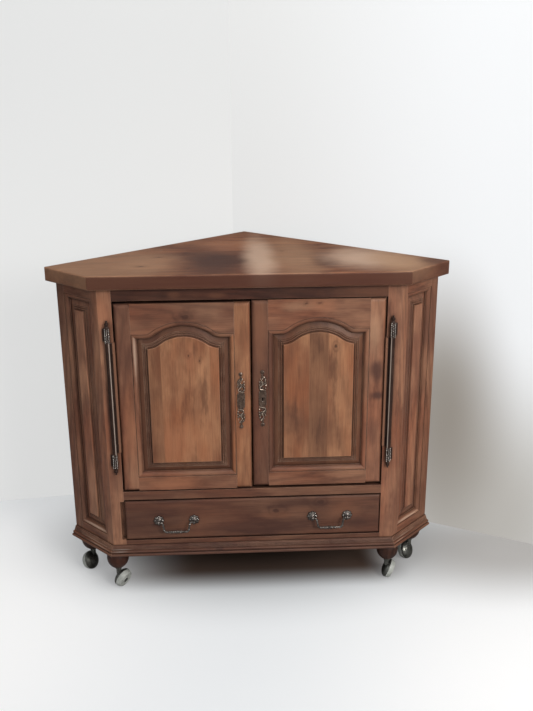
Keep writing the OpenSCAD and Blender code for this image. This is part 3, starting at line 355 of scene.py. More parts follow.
grainFigure = makeGrainFigure(grainSettings)
knotEye = makeKnotEye(knotSettings)
gluedBoards = makeGluedBoards(boardSettings)
stripBand = makeStripBand(stripSettings)
softPatch = makeSoftPatch(patchSettings)
edgeWearAndShade = makeEdgeWearAndShade(wearShadeSettings)
oldMetal = makeOldMetal(agedSettings)
print("corner cabinet: shader groups made")


def useGroup(tree, group, **values):
    node = tree.nodes.new("ShaderNodeGroup")
    node.node_tree = group
    fill(tree, node, **values)
    return node.outputs


def newMaterial(name):
    material = bpy.data.materials.new(name)
    material.use_nodes = True
    tree = material.node_tree
    return material, tree, tree.nodes["Principled BSDF"]


def objectSpace(tree):
    return tree.nodes.new("ShaderNodeTexCoord").outputs["Object"]


def finishSurface(tree, shader, colour, height, normal, relief):
    strength, distance = relief
    bump = tree.nodes.new("ShaderNodeBump")
    fill(tree, bump, Strength=strength, Distance=distance, Height=height, Normal=normal)
    fill(tree, shader, Base_Color=colour, Normal=bump.outputs["Normal"])


def dress(nodeName, material):
    mesh = nodes[nodeName].data
    mesh.materials.clear()
    mesh.materials.append(material)


# Stained and waxed fruitwood, in the tones of the cabinet's own pieces
waxed = {"roughness": 0.42, "specular": 0.24, "coat": 0.03}
woodTones = {
    "panel": {"light": (0.470, 0.225, 0.114), "middle": (0.270, 0.113, 0.057), "dark": (0.08, 0.032, 0.02),
              "warm": (0.330, 0.110, 0.047), **waxed},
    "frame": {"light": (0.360, 0.174, 0.1), "middle": (0.2, 0.086, 0.051), "dark": (0.056, 0.023, 0.017),
              "warm": (0.255, 0.084, 0.042), **waxed},
    # a darker copy of the wood tones, partly painted shade, for the frieze under the overhang of the top and
    # for the base board and feet under the cabinet
    "dusk": {"light": (0.110, 0.044, 0.026), "middle": (0.062, 0.023, 0.015), "dark": (0.024, 0.01, 0.007),
             "warm": (0.092, 0.027, 0.015), **waxed},
    "top": {"light": (0.420, 0.195, 0.100), "middle": (0.270, 0.108, 0.055), "dark": (0.085, 0.031, 0.020),
            "warm": (0.350, 0.118, 0.052), "roughness": 0.40, "specular": 0.17, "coat": 0.0},
    "bare": {"light": (0.470, 0.310, 0.180), "middle": (0.370, 0.230, 0.130), "dark": (0.210, 0.120, 0.070),
             "warm": (0.420, 0.240, 0.120), "roughness": 0.62, "specular": 0.24, "coat": 0.0},
}
# shared by all wood: how each layer of figure, marks, wear and painted light and shade is laid over the last
wood = {
    "ringSpacing": 0.014, "wander": 0.035, "reach": 0.012, "corner": 0.0018, "rub": 0.5, "uneven": 1.1,
    "glow": {"stretch": 0.35, "noise": (9.0, 3.0, 0.6), "between": (0.42, 0.66)},
    "murk": {"stretch": 0.22, "noise": (31.0, 4.0, 0.65), "between": (0.50, 0.72)},
    "streak": {"stretch": 0.06, "noise": (75.0, 3.0, 0.6), "between": (0.46, 0.68)},
    "glowShare": 0.7, "murkShare": 0.62, "rings": 0.34, "fibre": (0.35, 0.75, 0.0, 0.36), "pores": 0.30,
    "boardTone": (0.2, 1.0, 0.0, 0.36), "joint": 0.4, "stripJump": 0.11, "stripAlong": 1.7,
    "patchDepth": 0.05, "halo": 0.28, "eye": 0.6, "eyeTone": (0.026, 0.012, 0.009),
    "moulded": (0.0014, 0.0042),
    "edgeUp": (0.85, 0.5), "edgeFront": (-0.75, -0.95, 0.25, 1.0), "edgeRight": (0.3, 0.6, 0.0, 0.35),
    "grimeAndShade": 0.85, "grimeAndShadeTone": (0.014, 0.006, 0.005), "rubAndHighlightTone": (0.46, 0.27, 0.18),
    "sheenDrop": 0.08, "fibreSheen": 0.16, "hollowSheen": 0.2, "coatRoughness": 0.2,
    "rippleStretch": 0.3, "rippleNoise": (30.0, 2.0), "ripple": 1.6, "poreDepth": 0.5,
    "relief": (0.35, 0.0006),
}
# planes that marks lie on, each with its axis and its place on it in metres
frontY = -0.2915
frontPlane, panelPlane, topPlane = (1, frontY), (1, -0.29), (2, 0.85)
# half the width of the front, between the corners where the returns start
frontHalf = 0.36123


def boardSpace(tree, lay, centre):
    # board space: the grain runs along Z, the wide face across X, and the heart of the tree lies in +Y
    node = tree.nodes.new("ShaderNodeMapping")
    node.vector_type = "TEXTURE"
    fill(tree, node, Vector=objectSpace(tree), Location=centre, Rotation=lay)
    return node.outputs["Vector"]


def cutStrips(tree, piece, space, figureSpace, centre):
    # boards of a panel at known places, each with its own part of the figure
    bands = []
    for low, high, share in piece.get("strips", ()):
        across = splitVector(tree, space)[0]
        mask = useGroup(tree, stripBand, Across=across, From=low - centre.x, To=high - centre.x)["Mask"]
        jump = joinVector(tree, times(tree, mask, share * wood["stripJump"]), 0.0,
                          times(tree, mask, wood["stripAlong"] + share))
        figureSpace = vectors(tree, "ADD", figureSpace, jump)
        bands.append((mask, share))
    return figureSpace, bands


def cloudy(tree, space, settings, most):
    pattern = noise(tree, alongGrain(tree, space, settings["stretch"]), *settings["noise"])
    return spread(tree, pattern, *settings["between"], 0.0, most)


def figureLayers(tree, piece, tones, space, figure):
    dark = tones["dark"]
    layers = [(cloudy(tree, space, wood["glow"], wood["glowShare"]), tones["warm"]),
              (cloudy(tree, space, wood["murk"], wood["murkShare"]), dark),
              (times(tree, figure["Rings"], wood["rings"]), dark),
              (spread(tree, figure["Fibre"], *wood["fibre"]), dark),
              (times(tree, figure["Pores"], wood["pores"]), dark)]
    if "streaks" in piece:
        layers.append((cloudy(tree, space, wood["streak"], piece["streaks"]), dark))
    return layers


def boardLayers(tree, boards, bands, dark):
    layers = []
    if boards is not None:
        layers = [(spread(tree, boards["Tone"], *wood["boardTone"]), dark),
                  (times(tree, boards["Joint"], wood["joint"]), dark)]
    return layers + [(times(tree, mask, share), dark) for mask, share in bands]


def patchLayers(tree, piece, space, toBoard):
    layers = []
    for place, across, along, tone, share in piece.get("patches", ()):
        mask = useGroup(tree, softPatch, Vector=space, Centre=tuple(toBoard(place)),
                        Reach=(across, wood["patchDepth"], along),
                        Uneven=piece.get("uneven", wood["uneven"]))["Mask"]
        layers.append((times(tree, mask, share), tone))
    return layers


def knotLayers(tree, knots, dark):
    if not knots:
        return []
    halo = combine(tree, "MAXIMUM", [knot["Halo"] for knot in knots])
    eye = combine(tree, "MAXIMUM", [knot["Eye"] for knot in knots])
    return [(times(tree, halo, wood["halo"]), dark), (times(tree, eye, wood["eye"]), wood["eyeTone"])]


def stainAndShadeLayers(tree, piece, space, toBoard, centre, dark):
    layers = []
    if "stain" in piece:
        layers.append((piece["stain"], dark))
    if "sunk" in piece:
        # the mouldings below the faces of the front and the returns are darker, partly from stain and old
        # wax lying thicker there and partly as painted shade in the recess
        corner = Vector((math.copysign(frontHalf, centre.x), frontY, 0.0))
        below = minus(tree, splitVector(tree, space)[1], toBoard(corner).y)
        moulded = spread(tree, below, *wood["moulded"])
        layers.append((times(tree, moulded, piece["sunk"]), dark))
    if "sides" in piece:
        # painted shade: the edges of the top that face the front, and a little those that face right, are
        # painted darker than its upper side
        faceX, faceY, faceZ = splitVector(tree, tree.nodes.new("ShaderNodeNewGeometry").outputs["Normal"])
        turned = plus(tree, spread(tree, faceY, *wood["edgeFront"]), spread(tree, faceX, *wood["edgeRight"]))
        edge = times(tree, spread(tree, faceZ, *wood["edgeUp"]), turned)
        layers.append((times(tree, edge, piece["sides"]), dark))
    return layers


def makeWood(name, tone, lay, piece, centre, seed):
    tones = woodTones[tone]
    material, tree, shader = newMaterial(name)
    intoBoard = Euler(lay).to_matrix().transposed()
    axis, level = piece.get("plane", frontPlane)

    def toBoard(place):
        # a place with only two numbers lies on the piece's plane
        full = (*place[:axis], level, *place[axis:]) if len(place) == 2 else place
        return intoBoard @ (Vector(full) - centre)

    space = boardSpace(tree, lay, centre)
    boards, figureSpace = None, space
    if "boards" in piece:
        boards = useGroup(tree, gluedBoards, Vector=space, Board_Width=piece["boards"],
                          Shift=piece.get("shift", 0.0), Seed=seed)
        figureSpace = boards["Vector"]
    figureSpace, bands = cutStrips(tree, piece, space, figureSpace, centre)
    knots = [useGroup(tree, knotEye, Vector=space, Centre=toBoard(place) * Vector((1, 0, 1)), Size=size)
             for place, size in piece.get("knots", ())]
    figure = useGroup(tree, grainFigure, Vector=figureSpace, Seed=seed, Wander=wood["wander"],
                      Ring_Spacing=piece.get("ringSpacing", wood["ringSpacing"]),
                      Pull=combine(tree, "ADD", [knot["Pull"] for knot in knots]) if knots else 0.0)
    wearShade = useGroup(tree, edgeWearAndShade, Vector=space, Reach=wood["reach"],
                    Corner=piece.get("corner", wood["corner"]), Seed=seed)
    colour = blendColours(tree, figure["Cloud"], tones["light"], tones["middle"])
    layers = figureLayers(tree, piece, tones, figureSpace, figure)
    layers += boardLayers(tree, boards, bands, tones["dark"]) + patchLayers(tree, piece, space, toBoard)
    colour = paint(tree, colour, layers + knotLayers(tree, knots, tones["dark"]))
    if "lift" in piece:
        colour = blendColours(tree, 1.0, colour, (piece["lift"],) * 3, "MULTIPLY")
    colour = paint(tree, colour, stainAndShadeLayers(tree, piece, space, toBoard, centre, tones["dark"]))
    # painted shade in the hollows together with grime, and painted highlights together with rubbed wear on
    # the arrises
    colour = paint(tree, colour, [
        (times(tree, wearShade["Grime"], wood["grimeAndShade"]), wood["grimeAndShadeTone"]),
        (times(tree, wearShade["RubAndHighlight"], piece.get("rub", wood["rub"])), wood["rubAndHighlightTone"])])
    fibreSheen = times(tree, figure["Fibre"], wood["fibreSheen"])
    sheen = plus(tree, fibreSheen, tones["roughness"] - wood["sheenDrop"])
    dulled = plus(tree, sheen, times(tree, wearShade["Grime"], wood["hollowSheen"]))
    fill(tree, shader, Roughness=dulled, Specular_IOR_Level=tones["specular"], Coat_Weight=tones["coat"],
         Coat_Roughness=wood["coatRoughness"])
    drawn = alongGrain(tree, space, wood["rippleStretch"])
    ripple = times(tree, noise(tree, drawn, *wood["rippleNoise"]), wood["ripple"])
    dips = times(tree, figure["Pores"], wood["poreDepth"])
    height = minus(tree, plus(tree, figure["Fibre"], ripple), dips)
    finishSurface(tree, shader, colour, height, wearShade["Normal"], wood["relief"])
    return material


quarter = math.pi / 2
eighth = math.pi / 4
# how a board lies: upright, along the front or a return, or from front to back
lays = {
    "upright": (0.0, 0.0, 0.0),
    "along": (0.0, quarter, 0.0),
    "flat": (quarter, 0.0, quarter),
    "leftReturn": (0.0, quarter, -eighth),
    "rightReturn": (0.0, quarter, eighth),
    "leftUpright": (0.0, 0.0, -eighth),
    "rightUpright": (0.0, 0.0, eighth),
    "deep": (quarter, 0.0, 0.0),
}

tan = (0.50, 0.30, 0.18)
russet = (0.40, 0.165, 0.085)
umber = (0.070, 0.030, 0.022)
# a pale chip, also used for painted glints along bright beads
chipAndGlint = (0.85, 0.78, 0.68)
# pale wax, also used as painted sheen and painted highlight lines
paleWaxAndSheen = (0.70, 0.49, 0.36)
# tone, lay and marks of each wooden piece: a knot has its place and size, a patch its place, its reach
# across and along the board, its tone and strength, and a strip its two edges and strength
woodPieces = {
    "top_slab": ("top", "flat", {
        "plane": topPlane, "sides": 0.9, "boards": 0.135, "shift": 0.05, "ringSpacing": 0.02,
        "corner": 0.004, "rub": 1.0, "uneven": 0.45, "streaks": 0.55,
        "knots": [((-0.162, -0.033), 0.005), ((-0.23, -0.087), 0.004), ((-0.265, -0.203), 0.005),
            ((-0.148, -0.238), 0.004), ((0.092, -0.025), 0.003)],
        # the patches on the top lay its own tone together with painted reflection and sheen; the pale ones
        # are painted sheen
        "patches": [((-0.37, -0.19), 0.3, 0.2, tan, 0.38), ((-0.24, -0.16), 0.16, 0.08, tan, 0.3),
            ((-0.075, -0.15), 0.2, 0.11, umber, 0.9), ((-0.045, 0.06), 0.12, 0.09, russet, 0.5),
            ((-0.13, -0.04), 0.014, 0.12, umber, 0.5), ((-0.02, -0.02), 0.012, 0.1, umber, 0.5),
            ((0.03, -0.1), 0.34, 0.046, paleWaxAndSheen, 0.72), ((0.118, -0.12), 0.34, 0.075, tan, 0.45),
            ((0.19, -0.17), 0.08, 0.035, umber, 0.5), ((0.285, -0.13), 0.15, 0.1, paleWaxAndSheen, 0.72),
            ((0.375, -0.19), 0.16, 0.08, tan, 0.8), ((0.465, -0.19), 0.06, 0.05, umber, 0.5)]}),
    "frieze_rail": ("dusk", "along", {
        "patches": [((-0.184, 0.799), 0.01, 0.02, russet, 0.14),
            ((-0.082, 0.797), 0.008, 0.028, russet, 0.14), ((0.3, 0.8), 0.03, 0.12, russet, 0.16)]}),
    "mid_rail": ("frame", "along", {"stain": 0.42}),
    "bottom_rail": ("frame", "along", {"stain": 0.5}),
    "base_moulding_front": ("frame", "along", {
        "stain": 0.72, "corner": 0.0018, "rub": 0.4, "uneven": 0.6,
        "knots": [((-0.09, -0.3, 0.128), 0.007)],
        # painted highlights along the beads at the left end
        "patches": [((-0.342, -0.303, 0.1305), 0.0011, 0.028, chipAndGlint, 0.9),
            ((-0.344, -0.303, 0.1268), 0.001, 0.022, chipAndGlint, 0.8)]}),
    "base_moulding_left": ("frame", "leftReturn", {
        "stain": 0.4, "corner": 0.0024, "rub": 0.7, "uneven": 0.6,
        # painted highlights along the beads
        "patches": [((-0.415, -0.254, 0.1305), 0.0011, 0.055, paleWaxAndSheen, 0.7),
            ((-0.405, -0.264, 0.1268), 0.001, 0.045, paleWaxAndSheen, 0.6)]}),
    "base_moulding_right": ("frame", "rightReturn", {
        "stain": 0.4, "corner": 0.0024, "rub": 0.7, "uneven": 0.6,
        # painted highlights along the beads
        "patches": [((0.4, -0.269, 0.1305), 0.0011, 0.045, paleWaxAndSheen, 0.6),
            ((0.385, -0.284, 0.1268), 0.001, 0.025, paleWaxAndSheen, 0.6)]}),
    "base_board": ("dusk", "along", {}),
    "bun_feet": ("dusk", "upright", {"lift": 0.7}),
    "post_front_left": ("frame", "upright", {
        "lift": 1.15,
        "patches": [((-0.345, 0.33), 0.03, 0.06, umber, 0.4), ((-0.35, 0.76), 0.02, 0.05, russet, 0.45)]}),
    "post_front_right": ("frame", "upright", {"lift": 1.2}),
    "post_rear_left": ("frame", "upright", {"stain": 0.2}),
    "post_rear_right": ("frame", "upright", {}),
    "return_top_rail_left": ("frame", "leftReturn", {"sunk": 0.35, "stain": 0.2}),
    "return_top_rail_right": ("frame", "rightReturn", {"sunk": 0.25}),
    "return_bottom_rail_left": ("frame", "leftReturn", {
        "sunk": 0.35, "stain": 0.2, "uneven": 0.5,
        # a pale line of wax and painted highlight along the moulding
        "patches": [((-0.412, -0.24, 0.168), 0.0035, 0.055, paleWaxAndSheen, 0.7)]}),
    "return_bottom_rail_right": ("frame", "rightReturn", {
        "sunk": 0.25, "uneven": 0.5,
        # a pale line of wax and painted highlight along the moulding
        "patches": [((0.412, -0.24, 0.168), 0.0035, 0.055, paleWaxAndSheen, 0.5)]}),
    "return_panel_left": ("frame", "leftUpright", {"sunk": 0.4, "rub": 0.6, "lift": 1.35}),
    "return_panel_right": ("frame", "rightUpright", {"sunk": 0.4, "rub": 0.6, "lift": 1.3}),
    "door_left_hinge_stile": ("frame", "upright", {
        "sunk": 0.3,
        "patches": [((-0.305, 0.7), 0.03, 0.1, umber, 0.35), ((-0.3, 0.46), 0.014, 0.12, russet, 0.4),
            # a pale line of rubbed wax and painted highlight along the moulding on the hinge side
            ((-0.279, 0.655), 0.0045, 0.075, paleWaxAndSheen, 0.5)]}),
    "door_left_meeting_stile": ("panel", "upright", {"sunk": 0.45, "corner": 0.0026, "rub": 0.8}),
    "door_left_top_rail": ("frame", "along", {
        "sunk": 0.45, "stain": 0.16,
        "knots": [((-0.156, 0.745), 0.006)],
        "patches": [((-0.1, 0.76), 0.03, 0.05, tan, 0.15), ((-0.2, 0.75), 0.04, 0.1, umber, 0.3)]}),
    "door_left_bottom_rail": ("frame", "along", {
        "sunk": 0.3, "stain": 0.06,
        "patches": [((-0.2, 0.31), 0.02, 0.08, russet, 0.5)]}),
    "door_left_panel": ("panel", "upright", {
        "plane": panelPlane, "ringSpacing": 0.02, "sunk": 0.78, "corner": 0.0028, "rub": 0.75,
        "strips": [(-0.26, -0.219, 0.36), (-0.1, -0.05, 0.08)],
        "knots": [((-0.152, 0.65), 0.002), ((-0.124, 0.635), 0.0016)],
        "patches": [((-0.15, 0.64), 0.012, 0.04, russet, 0.35), ((-0.19, 0.42), 0.05, 0.05, russet, 0.3),
            # a pale chip and painted glint on the lower edge of the field
            ((-0.12, 0.366), 0.005, 0.0016, chipAndGlint, 0.95)]}),
    "door_right_hinge_stile": ("frame", "upright", {
        "sunk": 0.25, "lift": 1.2, "rub": 0.9, "corner": 0.0028,
        "patches": [((0.306, 0.6), 0.022, 0.03, umber, 0.85), ((0.312, 0.535), 0.02, 0.012, umber, 0.9),
            ((0.3, 0.43), 0.018, 0.045, umber, 0.45), ((0.3, 0.7), 0.02, 0.05, tan, 0.35)]}),
    "door_right_meeting_stile": ("frame", "upright", {
        "sunk": 0.2, "stain": 0.48,
        "patches": [((0.02, 0.72), 0.02, 0.1, russet, 0.6)]}),
    "door_right_top_rail": ("frame", "along", {
        "sunk": 0.5, "stain": 0.08,
        "knots": [((0.132, 0.772), 0.002), ((0.163, 0.773), 0.002)],
        "patches": [((0.11, 0.765), 0.014, 0.05, tan, 0.3), ((0.17, 0.77), 0.02, 0.04, russet, 0.5)]}),
    "door_right_bottom_rail": ("frame", "along", {"sunk": 0.35, "stain": 0.1}),
    "door_right_panel": ("panel", "upright", {
        "plane": panelPlane, "ringSpacing": 0.02, "sunk": 0.66, "corner": 0.0025, "rub": 0.6,
        "strips": [(0.05, 0.141, 0.1), (0.141, 0.187, 0.5), (0.187, 0.26, 0.06)],
        "knots": [((0.205, 0.662), 0.0035)],
        "patches": [((0.11, 0.47), 0.04, 0.05, umber, 0.4), ((0.17, 0.45), 0.06, 0.1, umber, 0.22)]}),
    "drawer_front": ("frame", "along", {
        "stain": 0.58, "ringSpacing": 0.02, "rub": 0.7, "corner": 0.0024, "streaks": 0.5,
        "knots": [((0.058, 0.225), 0.006), ((0.172, 0.247), 0.006)],
        "patches": [((0.06, 0.215), 0.012, 0.06, russet, 0.6), ((0.23, 0.222), 0.03, 0.05, russet, 0.65),
            ((0.27, 0.185), 0.016, 0.035, umber, 0.6), ((-0.15, 0.2), 0.03, 0.05, russet, 0.4),
            ((0.02, 0.18), 0.022, 0.17, umber, 0.5), ((-0.27, 0.22), 0.06, 0.09, umber, 0.45),
            ((0.12, 0.245), 0.012, 0.1, umber, 0.6)]}),
    "drawer_side_left": ("bare", "deep", {}),
    "drawer_side_right": ("bare", "deep", {}),
    "drawer_back": ("bare", "along", {}),
    "drawer_bottom": ("bare", "flat", {"boards": 0.09}),
    "drawer_runners": ("bare", "deep", {}),
    "floor_board": ("bare", "flat", {"boards": 0.11}),
    "back_board_left": ("bare", "rightUpright", {"boards": 0.1}),
    "back_board_right": ("bare", "leftUpright", {"boards": 0.1}),
    "post_apex": ("bare", "rightUpright", {}),
}

# each piece has a seed of its own, so that no two boards are alike
firstSeed, seedStep = 1.0, 0.37
for number, (nodeName, (tone, lay, piece)) in enumerate(sorted(woodPieces.items())):
    low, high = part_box(nodeName)
    seed = firstSeed + seedStep * number
    dress(nodeName, makeWood(nodeName + "Wood", tone, lays[lay], piece, (low + high) / 2, seed))
print("corner cabinet: wooden pieces finished")


# Metals and the casters' treads
metalFinishes = {
    "iron": {"dull": (0.058, 0.036, 0.027), "bright": (0.210, 0.140, 0.104), "rub": (0.85, 0.70, 0.58),
             "patch": 160.0, "smooth": 0.26, "rough": 0.42, "metallic": 0.85, "specular": 0.5},
    # dark brown patina, kept this dark as painted shade, so that the leaf beside the door reads as a
    # shadowed gap
    "sleeve": {"dull": (0.024, 0.012, 0.009), "bright": (0.048, 0.026, 0.019), "rub": (0.40, 0.32, 0.27),
               "patch": 30.0, "smooth": 0.50, "rough": 0.62, "metallic": 0.0, "specular": 0.12},
    "bead": {"dull": (0.30, 0.27, 0.24), "bright": (0.80, 0.74, 0.68), "rub": (0.95, 0.90, 0.84),
             "patch": 300.0, "smooth": 0.16, "rough": 0.30, "metallic": 0.85, "specular": 0.5},
    "chasing": {"dull": (0.24, 0.165, 0.120), "bright": (0.85, 0.68, 0.54), "rub": (0.98, 0.86, 0.72),
                "patch": 260.0, "smooth": 0.15, "rough": 0.30, "metallic": 0.85, "specular": 0.5},
    "pull": {"dull": (0.050, 0.042, 0.037), "bright": (0.24, 0.21, 0.19), "rub": (0.85, 0.80, 0.74),
             "patch": 110.0, "smooth": 0.20, "rough": 0.38, "metallic": 0.9, "specular": 0.5},
    "pewter": {"dull": (0.060, 0.058, 0.050), "bright": (0.20, 0.20, 0.18), "rub": (0.72, 0.71, 0.67),
               "patch": 45.0, "smooth": 0.27, "rough": 0.45, "metallic": 0.9, "specular": 0.5},
}
metalSettings = {"reach": 0.005, "corner": 0.0007, "pits": 0.5, "grimeAndShade": 0.85, "rub": 0.85,
                 "grimeAndShadeTone": (0.012, 0.010, 0.009), "scuffs": 0.08, "relief": (0.4, 0.0003)}


def makeMetal(name, finish, seed, line=None):
    tones = metalFinishes[finish]
    material, tree, shader = newMaterial(name)
    space = objectSpace(tree)
    metal = useGroup(tree, oldMetal, Vector=space, Patch_Size=tones["patch"], Seed=seed)
    wearShade = useGroup(tree, edgeWearAndShade, Vector=space, Reach=metalSettings["reach"],
                    Corner=metalSettings["corner"], Seed=seed)
    colour = blendColours(tree, metal["Patina"], tones["bright"], tones["dull"])
    # painted shade in the hollows together with grime, and painted highlights together with rubbed wear on
    # the edges
    colour = paint(tree, colour, [
        (times(tree, metal["Pits"], metalSettings["pits"]), tones["dull"]),
        (times(tree, wearShade["Grime"], metalSettings["grimeAndShade"]), metalSettings["grimeAndShadeTone"]),
        (times(tree, wearShade["RubAndHighlight"], metalSettings["rub"]), tones["rub"])])
    if line:
        beside = minus(tree, sums(tree, "ABSOLUTE", splitVector(tree, space)[0]), line["middle"])
        near = spread(tree, sums(tree, "ABSOLUTE", beside), *line["fade"])
        colour = paint(tree, colour, [(spread(tree, beside, *line["leafEdge"]), line["leafTone"]),
                                      (near, line["tone"])])
    dulled = spread(tree, metal["Patina"], 0.0, 1.0, tones["smooth"], tones["rough"])
    scuffed = times(tree, metal["Scuffs"], metalSettings["scuffs"])
    fill(tree, shader, Roughness=plus(tree, dulled, scuffed), Metallic=tones["metallic"],
         Specular_IOR_Level=tones["specular"])
    height = minus(tree, metal["Patina"], metal["Pits"])
    finishSurface(tree, shader, colour, height, wearShade["Normal"], metalSettings["relief"])
    return material


treadSettings = {
    "patch": 60.0, "reach": 0.006, "corner": 0.001,
    "clean": (0.50, 0.51, 0.47), "worn": (0.33, 0.34, 0.31),
    "scuffs": 0.35, "scuffTone": (0.16, 0.16, 0.15), "grimeAndShade": 0.7, "grimeAndShadeTone": (0.05, 0.05, 0.045),
    "rub": 0.5, "rubAndHighlightTone": (0.68, 0.68, 0.65), "smooth": 0.42, "rough": 0.7, "relief": (0.25, 0.0003),
}


def makeTread(name, seed, settings):
    material, tree, shader = newMaterial(name)
    space = objectSpace(tree)
    metal = useGroup(tree, oldMetal, Vector=space, Patch_Size=settings["patch"], Seed=seed)
    wearShade = useGroup(tree, edgeWearAndShade, Vector=space, Reach=settings["reach"],
                    Corner=settings["corner"], Seed=seed)
    colour = blendColours(tree, metal["Patina"], settings["clean"], settings["worn"])
    # painted shade in the hollows together with grime, and painted highlights together with rubbed wear on
    # the edges
    colour = paint(tree, colour, [
        (times(tree, metal["Scuffs"], settings["scuffs"]), settings["scuffTone"]),
        (times(tree, wearShade["Grime"], settings["grimeAndShade"]), settings["grimeAndShadeTone"]),
        (times(tree, wearShade["RubAndHighlight"], settings["rub"]), settings["rubAndHighlightTone"])])
    dulled = spread(tree, metal["Scuffs"], 0.0, 1.0, settings["smooth"], settings["rough"])
    fill(tree, shader, Roughness=dulled)
    finishSurface(tree, shader, colour, metal["Scuffs"], wearShade["Normal"], settings["relief"])
    return material


# on each sheath hinge a line of light along the sleeve, and the brown stain at the edge of the leaf
sleeveLine = {"middle": 0.3378, "fade": (0.0015, 0.0005, 0.0, 0.9), "tone": (0.40, 0.32, 0.27),
              "leafEdge": (-0.0058, -0.0076), "leafTone": (0.24, 0.115, 0.070)}
pullWork = makeMetal("rubbedPulls", "pull", 7.0)
beadWork = makeMetal("rubbedBeads", "bead", 4.0)
chasingWork = makeMetal("rubbedChasing", "chasing", 9.0)
sides = ("left", "right")
ends = ("front_left", "front_right", "rear_left", "rear_right", "apex")
metalPieces = [
    (makeMetal("agedIron", "iron", 2.0), ["escutcheon_" + side for side in sides] + ["lock_case"]),
    (makeMetal("darkSleeve", "sleeve", 3.0, sleeveLine), ["hinge_sleeve_" + side for side in sides]),
    (makeMetal("darkKnuckle", "sleeve", 6.0), ["hinge_knuckles_" + side for side in sides]),
    (pullWork, ["pull_rosettes"] + ["bail_" + side for side in sides]),
    (makeMetal("wornPewter", "pewter", 5.0), ["caster_sockets"] + ["caster_hood_" + end for end in ends]),
    (makeTread("greyTread", 8.0, treadSettings), ["caster_wheel_" + end for end in ends]),
]
for material, nodeNames in metalPieces:
    for nodeName in nodeNames:
        dress(nodeName, material)
print("corner cabinet: metal and treads finished")


# Fine chasing that stands on the ironwork: beads and scrolled strands
def addBead(work, place, radius, squash=(1.0, 1.0, 1.0), roundness=2):
    matrix = Matrix.Translation(place) @ Matrix.Diagonal((*squash, 1.0))
    bmesh.ops.create_icosphere(work, subdivisions=roundness, radius=radius, matrix=matrix)


def addStrand(work, points, settings):
    rings = []
    around = [math.tau * k / settings["sides"] for k in range(settings["sides"])]
    for index, point in enumerate(points):
        before, after = points[max(index - 1, 0)], points[min(index + 1, len(points) - 1)]
        ahead = (after - before).normalized()
        beside = ahead.cross(Vector((0, 1, 0))).normalized()
        upward = beside.cross(ahead)
        swell = settings["swell"] * math.sin(math.pi * index / (len(points) - 1))
        taper = settings["thick"] * (settings["ends"] + swell)
        rings.append([work.verts.new(point + taper * (math.cos(turn) * beside + math.sin(turn) * upward))
                      for turn in around])
    for near, far in zip(rings, rings[1:]):
        for k in range(settings["sides"]):
            following = (k + 1) % settings["sides"]
            work.faces.new((near[k], near[following], far[following], far[k]))
    work.faces.new(rings[0][::-1])
    work.faces.new(rings[-1])


def smoothCurve(points, steps):
    # a curve through all the points
    line = []
    padded = [points[0]] + points + [points[-1]]
    for a, b, c, d in zip(padded, padded[1:], padded[2:], padded[3:]):
        for step in range(steps):
            t = step / steps
            bend = (2 * a - 5 * b + 4 * c - d) * t * t + (3 * b - a - 3 * c + d) * t ** 3
            line.append(0.5 * (2 * b + (c - a) * t + bend))
    return line + [points[-1]]


def finishPiece(work, name, body, material):
    mesh = bpy.data.meshes.new(name)
    bmesh.ops.recalc_face_normals(work, faces=work.faces)
    for face in work.faces:
        face.smooth = True
    work.to_mesh(mesh)
    work.free()
    mesh.materials.append(material)
    piece = bpy.data.objects.new(name, mesh)
    scene.collection.objects.link(piece)
    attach(piece, body)


# turned beads at the middle of each bail, each with its offset and radius
bailBeads = {
    "height": 0.181, "front": -0.3055, "squash": (0.55, 1.0, 1.0), "roundness": 3,
    "beads": [(0.0, 0.0039), (-0.0048, 0.0033), (0.0048, 0.0033), (-0.0096, 0.0036), (0.0096, 0.0036)],
}


def makeBailBeads(side, settings):
    low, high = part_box("bail_" + side)
    middle = (low.x + high.x) / 2
    work = bmesh.new()
    for offset, radius in settings["beads"]:
        place = Vector((middle + offset, settings["front"], settings["height"]))
        addBead(work, place, radius, settings["squash"], settings["roundness"])
    finishPiece(work, "bailBeads_" + side, "bail_" + side, pullWork)


# rows of beads round each knuckle, from the end of the sleeve outwards
knuckleSettings = {
    "rows": 9, "pitch": 0.0041, "length": 0.038, "bare": 0.002, "angles": (-42, 0, 42),
    "bead": 0.00155, "smaller": 0.75, "radius": 0.0066, "hingeX": 0.341, "hingeY": -0.2987,
}


def makeKnuckleBeads(side, settings):
    low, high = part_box("hinge_sleeve_" + side)
    across = math.copysign(settings["hingeX"], low.x)
    work = bmesh.new()
    for start, way in ((high.z, 1), (low.z, -1)):
        for row in range(settings["rows"]):
            for column, angle in enumerate(settings["angles"]):
                lift = settings["pitch"] * (row + 0.5 + 0.5 * (column % 2))
                if lift > settings["length"] - settings["bare"]:
                    continue
                turn = math.radians(angle)
                place = Vector((across + settings["radius"] * math.sin(turn),
                                settings["hingeY"] - settings["radius"] * math.cos(turn),
                                start + way * lift))
                addBead(work, place, settings["bead"] * (settings["smaller"] if column % 2 else 1.0))
    finishPiece(work, "knuckleBeads_" + side, "cabinet", beadWork)


